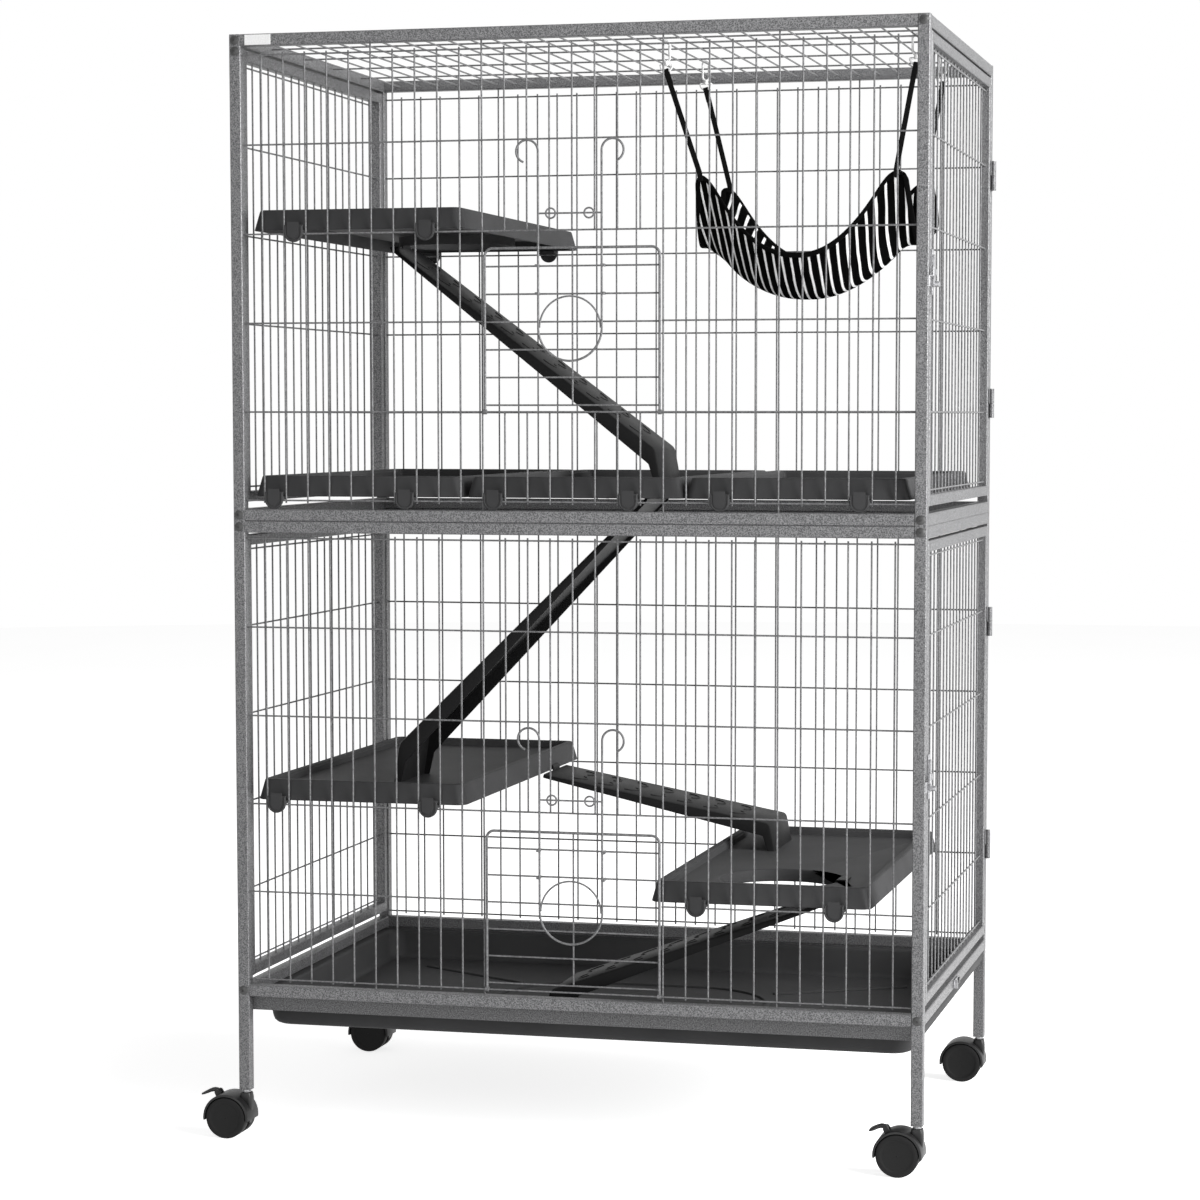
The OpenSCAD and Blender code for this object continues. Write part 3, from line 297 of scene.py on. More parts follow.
class Nodes:
    """The node tree of a material or a world, emptied and built up with short calls."""

    def __init__(self, owner):
        owner.use_nodes = True
        self.tree = owner.node_tree
        self.tree.nodes.clear()

    def add(self, kind, **values):
        node = self.tree.nodes.new(kind)
        for key, value in values.items():
            setattr(node, key, value)
        return node

    def plug(self, value, socket):
        """Links a node's output to a socket, or sets the socket to a plain value."""
        if isinstance(value, bpy.types.NodeSocket):
            self.tree.links.new(value, socket)
        else:
            socket.default_value = value

    def feed(self, node, **inputs):
        """Plugs values into a node's inputs, by their names with _ for a space."""
        for key, value in inputs.items():
            self.plug(value, node.inputs[key.replace("_", " ")])

    def math(self, kind, *values):
        node = self.add("ShaderNodeMath", operation=kind)
        for value, socket in zip(values, node.inputs):
            self.plug(value, socket)
        return node.outputs[0]


class Finish(Nodes):
    """A material with one Principled shader."""

    def __init__(self, name, **sockets):
        self.mat = bpy.data.materials.new(name)
        super().__init__(self.mat)
        self.shader = self.add("ShaderNodeBsdfPrincipled")
        self.out = self.add("ShaderNodeOutputMaterial")
        self.plug(self.shader.outputs[0], self.out.inputs[0])
        self.feed(self.shader, **sockets)

    def place(self):
        return self.add("ShaderNodeTexCoord").outputs["Object"]

    def noise(self, scale, detail=2.0, rough=0.5, where=None):
        node = self.add("ShaderNodeTexNoise")
        self.feed(node, Scale=scale, Detail=detail, Roughness=rough,
                  Vector=where or self.place())
        return node.outputs["Fac"]

    def spread(self, value, low, high, to_low, to_high):
        node = self.add("ShaderNodeMapRange")
        self.feed(node, From_Min=low, From_Max=high, To_Min=to_low, To_Max=to_high, Value=value)
        return node.outputs["Result"]

    def ramp(self, value, stops):
        node = self.add("ShaderNodeValToRGB")
        band = node.color_ramp
        while len(band.elements) < len(stops):
            band.elements.new(0.5)
        for element, (at, rgb) in zip(band.elements, stops):
            element.position = at
            element.color = (*rgb, 1)
        self.feed(node, Fac=value)
        return node.outputs["Color"]

    def two_tone(self, value, dark, light):
        """From one colour where a noise is low to another where it's high."""
        return self.ramp(value, ((LOW, dark), (HIGH, light)))

    def axes(self, value):
        node = self.add("ShaderNodeSeparateXYZ")
        self.feed(node, Vector=value)
        return node.outputs

    def wave(self, value, rate):
        return self.math("SINE", self.math("MULTIPLY", value, rate))

    def base(self, value):
        self.feed(self.shader, Base_Color=value)

    def rough(self, value, at_low, at_high):
        """The roughness where a noise is low and where it's high."""
        self.feed(self.shader, Roughness=self.spread(value, LOW, HIGH, at_low, at_high))

    def bump(self, value, depth, strength):
        """Raises the surface by a value; depth is in millimetres."""
        node = self.add("ShaderNodeBump")
        self.feed(node, Distance=depth * MM, Strength=strength, Height=value)
        self.feed(self.shader, Normal=node.outputs[0])


def shade(rgb, k):
    return tuple(min(1.0, c * k) for c in rgb)


def grey(level):
    return (level, level, level)


def hammered_paint(name, light, dark, fleck):
    f = Finish(name, Metallic=0.25, Roughness=0.42)
    cells = f.noise(1 / fleck, detail=2.5, rough=0.62)
    middle = tuple((a + b) / 2 for a, b in zip(light, dark))
    f.base(f.ramp(cells, ((0.36, dark), (0.5, middle), (0.62, light))))
    f.rough(cells, 0.55, 0.34)
    f.bump(cells, 0.25, 0.5)
    return f.mat


def wire_paint(rgb):
    f = Finish("wire_paint", Metallic=0.1, Roughness=0.45, Specular_IOR_Level=0.25)
    cells = f.noise(420)
    f.base(f.ramp(cells, ((0.35, shade(rgb, 0.75)), (0.65, shade(rgb, 1.3)))))
    f.rough(cells, 0.5, 0.36)
    f.bump(cells, 0.1, 0.3)
    return f.mat


def zinc():
    f = Finish("zinc", Metallic=0.85, Roughness=0.35)
    spangle = f.noise(260, detail=3.0)
    f.base(f.two_tone(spangle, (0.30, 0.30, 0.31), (0.44, 0.44, 0.45)))
    f.rough(f.noise(900), 0.28, 0.45)
    f.bump(f.noise(1500), 0.03, 0.3)
    return f.mat


def moulded(name, rgb, roughness=0.55, grain=1300, depth=0.06, level=0.05):
    """Moulded plastic with a fine sparked grain and faint cloudiness."""
    f = Finish(name, Roughness=roughness, Specular_IOR_Level=level)
    cloud = f.noise(14, detail=3.0)
    f.base(f.two_tone(cloud, shade(rgb, 0.88), shade(rgb, 1.12)))
    fine = f.noise(grain, detail=2.5, rough=0.6)
    f.rough(fine, roughness - 0.06, roughness + 0.08)
    f.bump(fine, depth, 0.5)
    return f.mat


# How far the stripes stray, in metres, and how soft their edges are, over the pitch
STRAY, SOFT = 0.0005, 0.02
# How fast the weave's waves run, in radians over a metre
WEAVE = 4500.0


def striped_cloth(s):
    f = Finish("hammock_cloth", Roughness=0.9, Specular_IOR_Level=0.0)
    uv = f.add("ShaderNodeUVMap", uv_map="cloth").outputs[0]
    across, along, _ = f.axes(uv)
    wander = f.spread(f.noise(35, detail=1.0, where=uv), LOW, HIGH, -STRAY, STRAY)
    run = f.math("ADD", across, wander)
    turn = f.math("FRACT", f.math("DIVIDE", run, s.stripe_pitch))
    from_middle = f.math("ABSOLUTE", f.math("SUBTRACT", turn, 0.5))
    half = s.stripe_share / 2
    stripe = f.spread(from_middle, half - SOFT, half + SOFT, 1.0, 0.0)
    thread = f.noise(900, where=uv)
    mix = f.add("ShaderNodeMix", data_type="RGBA")
    f.plug(stripe, mix.inputs[0])
    f.plug(f.two_tone(thread, shade(s.cloth_colour, 0.6), shade(s.cloth_colour, 1.8)),
           mix.inputs[MIX_A])
    f.plug(f.two_tone(thread, shade(s.stripe_colour, 0.85), s.stripe_colour[:]),
           mix.inputs[MIX_B])
    f.base(mix.outputs[MIX_OUT])
    weave = f.math("ADD", f.wave(across, WEAVE), f.wave(along, WEAVE))
    f.bump(f.math("ADD", weave, f.math("MULTIPLY", stripe, 2.0)), 0.12, 0.5)
    return f.mat


def webbing(name, rgb):
    """Woven tape; its weave runs along X and Z."""
    f = Finish(name, Roughness=0.85, Specular_IOR_Level=0.02)
    x, _, z = f.axes(f.place())
    weave = f.math("MULTIPLY", f.wave(x, 5200.0), f.wave(z, 4200.0))
    f.base(f.ramp(f.spread(weave, -1, 1, 0, 1), ((0.2, shade(rgb, 0.6)), (0.8, shade(rgb, 1.5)))))
    f.bump(weave, 0.15, 0.6)
    return f.mat


def white_plastic():
    f = Finish("clip_plastic", Roughness=0.35)
    haze = f.noise(400)
    f.base(f.two_tone(haze, grey(0.74), grey(0.84)))
    f.rough(haze, 0.3, 0.42)
    f.bump(f.noise(700), 0.03, 0.4)
    return f.mat


def blank_plate():
    f = Finish("plate", Roughness=0.4)
    brushed = f.noise(600)
    f.base(f.two_tone(brushed, grey(0.70), grey(0.80)))
    f.bump(brushed, 0.02, 0.3)
    return f.mat


_made = {}


def finish_of(name):
    """Each material is made once, from the settings."""
    s = bpy.context.scene.ferret_cage
    makers = {
        "paint": lambda: hammered_paint("hammered_paint", s.paint_light, s.paint_dark, s.fleck),
        # Painted shade: the same hammered paint darkened to 0.6 of its colours, for the shade
        # that falls on the pan's runners under the bottom rail
        "runner": lambda: hammered_paint("runner_paint_painted_shade", shade(s.paint_light, 0.6),
                                         shade(s.paint_dark, 0.6), s.fleck),
        "bolt": lambda: moulded("dark_steel", grey(0.03), roughness=0.4, grain=900, depth=0.04,
                                level=0.5),
        "wire": lambda: wire_paint(s.wire_colour),
        "zinc": zinc,
        "tray": lambda: moulded("tray_plastic", s.tray_colour),
        "ramp": lambda: moulded("ramp_plastic", s.ramp_colour, roughness=0.5, grain=1100,
                                depth=0.05, level=0.1),
        "caster": lambda: moulded("caster_plastic", s.caster_colour, roughness=0.42, grain=1100,
                                  depth=0.05, level=0.3),
        "wheel": lambda: moulded("wheel_plastic", s.wheel_colour, roughness=0.6, grain=1400,
                                 depth=0.04, level=0.15),
        "cloth": lambda: striped_cloth(s),
        "webbing": lambda: webbing("webbing", grey(0.007)),
        "binding": lambda: webbing("binding", grey(0.003)),
        "clip": white_plastic,
        "plate": blank_plate,
    }
    if name not in _made:
        _made[name] = makers[name]()
    return _made[name]


def dress(node, finish, bevel=0.0):
    """Gives a CAD node its material and, where asked, softer edges."""
    obj = frame["nodes"][node]
    obj.data.materials.clear()
    obj.data.materials.append(finish_of(finish))
    if bevel:
        weld = obj.modifiers.new("weld", "WELD")
        weld.merge_threshold = 0.00001
        flat = obj.modifiers.new("flat", "DECIMATE")
        flat.decimate_type = "DISSOLVE"
        flat.angle_limit = radians(1)
        edge = obj.modifiers.new("edge", "BEVEL")
        edge.width = bevel * MM
        edge.segments = 2
        edge.limit_method = "ANGLE"
        edge.angle_limit = radians(40)
        obj.modifiers.new("normals", "WEIGHTED_NORMAL")


# ---- Metalwork ----

# Finish, bevel and names of the CAD nodes that keep their shape; * stands for either storey
METALWORK = (
    ("paint", 0, "top_rails middle_rails bottom_rails left_frames side_door_frame_* "
                 "hinge_door_leaves_* hinge_post_leaves"),
    # The runners take the darkened copy of the paint, which is painted shade
    ("runner", 0, "pan_runners"),
    ("wire", 0, "top_grid front_grid_* back_grids left_grids side_door_grid_* front_door_* "
                "front_slider_*"),
    ("zinc", 0.3, "latch_plate_* latch_lever_* latch_keepers"),
    ("zinc", 0.25, "pan_clasp"),
    ("bolt", 0, "frame_bolts"),
    ("caster", 0, "leg_plugs"),
    ("plate", 0.15, "label_plate"),
    ("tray", 0, "tray_hooks"),
)


class CAGE_OT_metalwork(bpy.types.Operator):
    """Paint the posts, rails, frames and grids, and finish the small metal parts"""
    bl_idname = "ferret_cage.metalwork"
    bl_label = "Metalwork"

    def execute(self, context):
        for corner in CORNERS:
            dress("post_" + corner, "paint")
        for finish, bevel, nodes in METALWORK:
            for node in nodes.split():
                for storey in ("upper", "lower") if "*" in node else ("",):
                    dress(node.replace("*", storey), finish, bevel)
        return {"FINISHED"}


# ---- Trays ----

# Inset from the skirt's edge and height, from under the floor round the rim to its top
TRAY_EDGE = ((19.0, 12.0), (17.4, 12.0), (16.6, 12.7), (15.4, 20.2), (14.6, 21.0), (9.2, 21.0),
             (8.3, 20.4), (2.9, 0.5), (2.4, 0.0), (0.6, 0.0), (0.0, 0.6), (5.3, 21.4),
             (5.8, 22.7), (7.0, 23.5), (12.4, 23.5), (13.5, 23.1), (14.1, 22.0), (15.2, 16.4),
             (16.0, 15.0), (17.6, 14.5))
# Radius and height, from the floor's top round the hole's rim to its underside
HOLE_EDGE = ((73.4, 14.5), (71.4, 14.2), (70.3, 13.4), (70.0, 12.2), (70.0, 0.6), (70.5, 0.0),
             (72.0, 0.0), (72.5, 0.6), (72.5, 11.3), (73.2, 12.0))
HOLE_Y = 134.0
# Radius of a tray's corners at its skirt, how fast it shrinks inwards, and its least
TRAY_R, TRAY_R_LOSS, TRAY_R_LEAST = 12, 0.5, 4.5


def plan(low, high):
    """The centre and the half sizes of a box seen from above, in millimetres."""
    return ((low.x + high.x) / 2 / MM, (low.y + high.y) / 2 / MM,
            (high.x - low.x) / 2 / MM, (high.y - low.y) / 2 / MM)


def build_tray(node, hole):
    """One tray; hole is -1 or 1 for a round hole near its front or its back, 0 for none."""
    low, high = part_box(node)
    cx, cy, half_x, half_y = plan(low, high)
    z0 = low.z / MM
    skin = Skin()
    rings = [rect_ring(half_x - i, half_y - i, max(TRAY_R - TRAY_R_LOSS * i, TRAY_R_LEAST),
                       z0 + z, cx, cy) for i, z in TRAY_EDGE]
    made = skin.loft(rings, ends=not hole)
    if hole:
        hy = hole * HOLE_Y
        holes = [circle_ring(r, z0 + z, cx, hy) for r, z in HOLE_EDGE]
        inner = skin.loft(holes, ends=False)
        stitch(skin, made[-1], inner[0], cx, hy)
        stitch(skin, made[0], inner[-1], cx, hy)
    piece(node + "_moulding", skin, finish_of("tray"), "frame", [node], sharp=30)


def loose_boxes(node):
    """The low and high corner of each separate solid of a node, in millimetres."""
    bm = bmesh.new()
    bm.from_mesh(frame["nodes"][node].data)
    bmesh.ops.remove_doubles(bm, verts=bm.verts, dist=0.00001)
    left = set(bm.verts)
    boxes = []
    for start in list(bm.verts):
        if start not in left:
            continue
        left.discard(start)
        group, todo = [], [start]
        while todo:
            v = todo.pop()
            group.append(v.co / MM)
            for e in v.link_edges:
                other = e.other_vert(v)
                if other in left:
                    left.discard(other)
                    todo.append(other)
        boxes.append(tuple(Vector(f(p[k] for p in group) for k in range(3)) for f in (min, max)))
    bm.free()
    return boxes


# The hooks' rims: radius, how far in they lie, and how high their ends reach
RIM_R, RIM_INSET, RIM_TOP = 0.9, 1.1, 17.5


def build_hook_rims():
    """The raised U-shaped edge on the outer face of each tray hook."""
    skin = Skin()
    for low, high in loose_boxes("tray_hooks"):
        cx, half = (low.x + high.x) / 2, (high.x - low.x) / 2 - RIM_INSET
        y = low.y + RIM_R if low.y + high.y < 0 else high.y - RIM_R
        middle = low.z + (high.x - low.x) / 2
        top = low.z + RIM_TOP
        path = [(cx - half, y, top), *arc(cx, middle, half, 180, 360, 12, y),
                (cx + half, y, top)]
        tube(skin, path, RIM_R, 8)
    piece("tray_hook_rims", skin, finish_of("tray"), "frame")


class CAGE_OT_trays(bpy.types.Operator):
    """Mould the six hook-on trays with their rims, sunken floors and round holes"""
    bl_idname = "ferret_cage.trays"
    bl_label = "Trays"

    def execute(self, context):
        for node, hole in (("tray_upper_left", 1), ("tray_floor_left", 0),
                           ("tray_floor_middle", -1), ("tray_floor_right", 0),
                           ("tray_lower_left", 0), ("tray_lower_right", -1)):
            build_tray(node, hole)
        build_hook_rims()
        return {"FINISHED"}


# ---- Ramps ----

RAMP_W = 112.0
DECK = 2.6
WALL = 2.4
# Width of the rounded edge between the deck and a wall
EDGE = 3.2
# Length that the knee's bend takes of the deck and of the foot
BEND = 5.0
TREAD_PITCH = 34.0
# The treads' place from the middle, and the radius of their curve and section
TREAD_Y, TREAD_CURVE, TREAD_R = 21, 13.8, 1.3
# The lip's width, thickness and bend, and the height of the bend's end in its two kinds
LIP_W, LIP_T, LIP_BEND = 28, 2, 3
LAP_Z, HOOK_Z = 16.2, 6.3
# Start x, y and z, way along X, deck length, foot level, knee height, and whether the lip
# laps over a tray's floor
RAMPS = {
    "ramp_upper": (-321.02, 134, 1046.88, 1, 418, 759.94, 37.5, True),
    "ramp_middle": (68, -134, 744.74, -1, 412, 410.04, 47, True),
    "ramp_bridge": (-127.11, 134, 394.24, 1, 290, 307.92, 33.5, False),
    "ramp_lower": (282.01, -134, 292.72, -1, 348.5, 132.9, 42.5, True),
}


def ramp_section(top, out, under):
    """A cross-section: the deck's line, its outward direction and the walls' lower edge."""
    half = RAMP_W / 2
    inner = half - WALL
    low = top - out * min(DECK, (under - top).length - 0.4)
    outside = [(half, under), (half, top - out * EDGE), (half - 0.9, top - out),
               (half - EDGE, top)]
    inside = [(inner, under), (inner, low - out * 0.3), (inner - 1, low)]
    line = [(-y, p) for y, p in outside] + outside[::-1]
    line += inside + [(-y, p) for y, p in inside[::-1]]
    return [Vector((p.x, y, p.z)) for y, p in line]


def add_treads(skin, down, out, l, above):
    """Curved treads in two rows; above is the height of their section's middle."""
    for i in range(1, int(l // TREAD_PITCH)):
        for row in (-1, 1):
            middle = down * (i * TREAD_PITCH) + Vector((0, row * TREAD_Y, 0))
            path = []
            for k in range(13):
                a = radians(-78 + 156 * k / 12 + row * 18)
                path.append(middle + down * (TREAD_CURVE * cos(a))
                            + Vector((0, TREAD_CURVE * sin(a), 0)) + out * above)
            tube(skin, path, TREAD_R, 8)


def add_lip(skin, lapped):
    """The lip at a ramp's start: it laps over a tray's floor, or ends in a small hook."""
    z = (LAP_Z if lapped else HOOK_Z) - LIP_BEND
    path = [Vector((1, 0, -2 if lapped else -3.5)), Vector((1, 0, z))]
    path += arc(1 - LIP_BEND, z, LIP_BEND, 0, 90, 5)
    if lapped:
        path += [Vector((-12, 0, LAP_Z))]
    else:
        path += [Vector((-5, 0, HOOK_Z)), Vector((-7, 0, 7.2)), Vector((-7.2, 0, 10.2))]
    ribbon(skin, path, (0, 1, 0), LIP_W, LIP_T)


def build_ramp(node, tread_height):
    x, y, z, way, l, foot_z, knee, lapped = RAMPS[node]
    drop = z - foot_z - knee
    run = sqrt(l * l - drop * drop)
    slope = atan2(drop, run)
    down = Vector((cos(slope), 0, -sin(slope)))
    out = Vector((sin(slope), 0, cos(slope)))
    corner = Vector((run, 0, -drop))
    foot = Vector((run + 7, 0, -drop - knee))
    leg = (foot - corner).normalized()
    leg_out = Vector((-leg.z, 0, leg.x))
    # The walls' lower edge at the start, at the knee and at the foot
    wall_top = Vector((0, 0, -4.5 / cos(slope)))
    wall_knee = Vector((run - 8, 0, -drop - 15 / cos(slope)))
    wall_foot = Vector((run - 2, 0, -drop - knee))
    rings = []
    steps = 14
    for i in range(steps + 1):
        t = i / steps
        rings.append(ramp_section(down * ((l - BEND) * t), out,
                                  wall_top.lerp(wall_knee, t * 0.985)))
    start, end = corner - down * BEND, corner + leg * BEND
    for i in range(1, 7):
        t = i / 7
        p = start.lerp(corner, t).lerp(corner.lerp(end, t), t)
        rings.append(ramp_section(p, out.lerp(leg_out, t).normalized(),
                                  wall_knee.lerp(wall_foot, 0.01 * i)))
    for i in range(5):
        t = i / 4
        rings.append(ramp_section(end.lerp(foot, t), leg_out,
                                  wall_knee.lerp(wall_foot, 0.1 + 0.9 * t)))
    skin = Skin()
    skin.loft(rings)
    add_treads(skin, down, out, l, tread_height / MM - TREAD_R)
    add_lip(skin, lapped)
    skin.verts = [Vector((x + way * v.x, y + v.y, z + v.z)) for v in skin.verts]
    piece(node + "_moulding", skin, finish_of("ramp"), "frame", [node], sharp=34)


class CAGE_OT_ramps(bpy.types.Operator):
    """Mould the four ramps with side walls, curved treads, feet and lips"""
    bl_idname = "ferret_cage.ramps"
    bl_label = "Ramps"

    def execute(self, context):
        for node in RAMPS:
            build_ramp(node, context.scene.ferret_cage.tread_height)
        return {"FINISHED"}


# ---- Pan ----

# Inset from the lip, height below the rim and corner radius, from under the floor to its top
PAN_EDGE = ((27.0, -37.5, 17.0), (23.6, -37.3, 19.5), (20.4, -35.9, 21.5), (17.8, -33.2, 22.8),
            (16.4, -29.4, 23.2), (12.8, -4.6, 21.5), (12.3, -3.0, 21.0), (11.2, -2.2, 20.0),
            (3.2, -2.2, 5.0), (2.3, -3.0, 4.6), (2.2, -9.0, 4.4), (1.8, -9.5, 4.6),
            (0.4, -9.5, 5.8), (0.0, -9.0, 6.0), (0.0, -1.8, 6.0), (0.5, -0.5, 6.0),
            (1.8, 0.0, 6.0), (11.8, 0.0, 18.5), (13.4, -0.5, 19.5), (14.6, -1.9, 20.0),
            (15.1, -3.8, 20.2), (18.4, -28.6, 21.0), (19.6, -32.0, 20.6), (21.8, -34.2, 19.4),
            (24.6, -35.2, 17.6), (28.0, -35.3, 15.0))
# Width and height of the raised lines on the pan's floor
LINE_W, LINE_H = 7, 2.4
# Half length and half width of the loop, and its corners' radius
LOOP = (170, 110, 109)
# A bar's start from the middle, the way it runs, and its gap and length along that way
BAR_START, BAR_WAY, BAR_GAP, BAR_L = (150, 78), (170, 95), 10, 175


def ridge_loop(skin, cx, z):
    """A raised line that closes on itself."""
    half_x, half_y, r = LOOP
    rings = []
    for k, up in ((0, -0.4), (0.06, 0.5), (0.2, 0.92), (0.5, 1.0), (0.8, 0.92), (0.94, 0.5),
                  (1, -0.4)):
        d = LINE_W * k
        rings.append(rect_ring(half_x - d, half_y - d, r - d, z + LINE_H * up, cx, 0, 16))
    skin.loft(rings, looped=True)


def ridge_bar(skin, start, along):
    """A raised line with rounded ends."""
    along = Vector(along).normalized()
    side = Vector((-along.y, along.x, 0))
    start = Vector(start)

    def outline(inset, z):
        points = []
        r = LINE_W / 2 - inset
        for base, a0 in ((start + along * (BAR_L - LINE_W / 2), -90),
                         (start + along * LINE_W / 2, 90)):
            for i in range(9):
                a = radians(a0 + 180 * i / 8)
                p = base + along * r * cos(a) + side * r * sin(a)
                points.append((p.x, p.y, start.z + z))
        return points
    skin.loft([outline(0, -0.5), outline(0.2, LINE_H * 0.55), outline(0.9, LINE_H * 0.92),
               outline(1.8, LINE_H)])


class CAGE_OT_pan(bpy.types.Operator):
    """Mould the pull-out pan with its flange, sloped walls and raised lines"""
    bl_idname = "ferret_cage.pan"
    bl_label = "Pan"

    def execute(self, context):
        low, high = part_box("pull_out_pan")
        cx, cy, half_x, half_y = plan(low, high)
        rim = high.z / MM
        skin = Skin()
        skin.loft([rect_ring(half_x - i, half_y - i, r, rim + z, cx, cy, 10)
                   for i, z, r in PAN_EDGE])
        floor = rim + PAN_EDGE[-1][1]
        ridge_loop(skin, cx, floor)
        for sx in (-1, 1):
            for sy in (-1, 1):
                along = Vector((sx * BAR_WAY[0], sy * BAR_WAY[1], 0)).normalized()
                start = Vector((cx + sx * BAR_START[0], sy * BAR_START[1], floor))
                ridge_bar(skin, start + along * BAR_GAP, along)
        piece("pan_moulding", skin, finish_of("tray"), "pan", ["pull_out_pan"],
              sharp=30)
        return {"FINISHED"}


# ---- Hammock ----

# The cloth's ends, and how far the left one moves out towards the back
HAM_LEFT, HAM_RIGHT, HAM_SKEW = 112.0, 366.0, 13.0
# Middle and size from front to back
HAM_Y, HAM_D = -27.0, 200.0
CORNER_Z = 1112.5
# Sag below the corners: of the hems, of the two ends and of the belly
HEM_SAG, END_SAG, BELLY_SAG = 92.0, 81.0, 142.0
# How early the cloth reaches its corners' level, and the power of its curve, at each end
EAR_LEFT, EAR_RIGHT = 1.13, 1.2
POWER_LEFT, POWER_RIGHT = 2.4, 2.0
# The power of its curve from front to back
FLAP = 7
EAR_R = 11.0
# How far the right corners are drawn in from the cloth below them
EAR_PULL = 12.0
# How much shallower the cloth hangs towards the back, and its curve's highest value
BACK_RISE = 0.45
DEEPEST = 0.886
# The stripes lie closer at the left end, where the cloth is drawn in
PITCH_LEFT, PITCH_RIGHT, PITCH_BACK = 8.6, 10.3, 11.4
# The stripes' lean at the left end, and its loss over a length
LEAN, LEAN_LOSS, LEAN_LENGTH = 1.25, 1.35, 250
# Folds: waves in a turn round a corner, their reach and start, and the cloth's half width
FOLDS, FOLD_REACH, FOLD_START, FOLD_HALF = 11, 62, 14, 120
CLOTH_THICK = 1.2


def cloth_height(u, v):
    """The cloth's level; u runs from -1 to 1 from left to right, v from front to back."""
    s = (EAR_LEFT if u < 0 else EAR_RIGHT) * abs(u)
    s = s / (1 + s ** 20) ** 0.05
    a = 1 - s ** (POWER_LEFT if u < 0 else POWER_RIGHT)
    b = (1 - abs(v) ** FLAP) * (1 - BACK_RISE * (v + 1) / 2) / DEEPEST
    return CORNER_Z - HEM_SAG * a - END_SAG * b + (HEM_SAG + END_SAG - BELLY_SAG) * a * b


def round_corner(u, v):
    """Rounds the cloth's square corners."""
    wide = EAR_R / ((HAM_RIGHT - HAM_LEFT) / 2)
    deep = EAR_R / (FLAP * END_SAG)
    p, q = (abs(u) - 1 + wide) / wide, (abs(v) - 1 + deep) / deep
    if p <= 0 or q <= 0:
        return u, v
    p, q = p * sqrt(1 - q * q / 2), q * sqrt(1 - p * p / 2)
    return copysign(1 - wide + wide * p, u), copysign(1 - deep + deep * q, v)


def cloth_point(u, v):
    left = HAM_LEFT - HAM_SKEW * (v + 1) / 2
    right = HAM_RIGHT - EAR_PULL * abs(v) ** FLAP
    return Vector((left + (right - left) * (u + 1) / 2, HAM_Y + v * HAM_D / 2,
                   cloth_height(u, v)))


def fold(u, v, depth):
    """Height of the folds that run from the corners into the belly."""
    total = 0.0
    for su in (-1, 1):
        for sv in (-1, 1):
            dx, dy = (1 - su * u) * FOLD_HALF, (1 - sv * v) * HAM_D / 2
            d = hypot(dx, dy)
            a = atan2(dy, dx)
            wave = sin(FOLDS * a + 1.7 * su + 0.9 * sv)
            total += wave * exp(-(d / FOLD_REACH) ** 2) * (1 - exp(-(d / FOLD_START) ** 2))
    soft = noise.noise(Vector((u * 2.1, v * 1.7, 3.3)))
    return depth * (total + 0.7 * soft)


class Cloth:
    """The hung sheet as a grid of points and outward directions."""

    def __init__(self, depth, n=132, m=96):
        self.n, self.m = n, m
        # The grid's lines lie closer towards the edges
        us = [sin(pi / 2 * (2 * i / n - 1)) * 0.35 + (2 * i / n - 1) * 0.65
              for i in range(n + 1)]
        vs = []
        for j in range(m + 1):
            t = 2 * j / m - 1
            vs.append(copysign(1 - (1 - abs(t)) ** 1.6, t))
        # The step over which the cloth's slope is taken
        e = 0.002
        self.at, self.out = [], []
        for u in us:
            row, outs = [], []
            for v in vs:
                uu, vv = max(-1 + e, min(1 - e, u)), max(-1 + e, min(1 - e, v))
                du = cloth_point(uu + e, vv) - cloth_point(uu - e, vv)
                dv = cloth_point(uu, vv + e) - cloth_point(uu, vv - e)
                up = du.cross(dv).normalized()
                row.append(cloth_point(*round_corner(u, v)) + up * fold(u, v, depth))
                outs.append(up)
            self.at.append(row)
            self.out.append(outs)

    def uvs(self, slant, pitch):
        """Each point's place across the stripes and along them from the middle, in metres."""
        n, m = self.n, self.m
        half = (HAM_RIGHT - HAM_LEFT) / 2
        along = [[0.0] * (m + 1) for _ in range(n + 1)]
        for i in range(n + 1):
            for j in range(m // 2, m):
                along[i][j + 1] = along[i][j] + (self.at[i][j + 1] - self.at[i][j]).length
            for j in range(m // 2, 0, -1):
                along[i][j - 1] = along[i][j] - (self.at[i][j - 1] - self.at[i][j]).length
        made = []
        for i in range(n + 1):
            for j in range(m + 1):
                x = self.at[i][j].x
                lean = slant * along[i][j] * (LEAN - LEAN_LOSS * (x - HAM_LEFT) / LEAN_LENGTH)
                u = (x - lean - HAM_LEFT) / half - 1
                back = max(0.0, 2 * j / m - 1)
                left_pitch = PITCH_LEFT + (PITCH_BACK - PITCH_LEFT) * min(1, 2 * back)
                tight = (PITCH_RIGHT - left_pitch) / 2
                middle = (PITCH_RIGHT + left_pitch) / 2
                number = half / tight * log(max(0.2, 1 + tight * u / middle))
                made.append((number * pitch, along[i][j] * MM))
        return made

    def skin(self, thick):
        n, m = self.n, self.m
        skin = Skin()
        for side in (0.5, -0.5):
            for i in range(n + 1):
                skin.ring([p + o * thick * side for p, o in zip(self.at[i], self.out[i])])
        w = m + 1
        low = (n + 1) * w
        for i in range(n):
            for j in range(m):
                a, b, c, d = i * w + j, i * w + j + 1, (i + 1) * w + j + 1, (i + 1) * w + j
                skin.faces.append((a, d, c, b))
                skin.faces.append((low + a, low + b, low + c, low + d))
        edge = self.edge_ids()
        for a, b in zip(edge, edge[1:] + edge[:1]):
            skin.faces.append((a, b, low + b, low + a))
        return skin

    def edge_ids(self):
        n, m, w = self.n, self.m, self.m + 1
        ids = [i * w for i in range(n)] + [n * w + j for j in range(m)]
        return ids + [i * w + m for i in range(n, 0, -1)] + [j for j in range(m, 0, -1)]


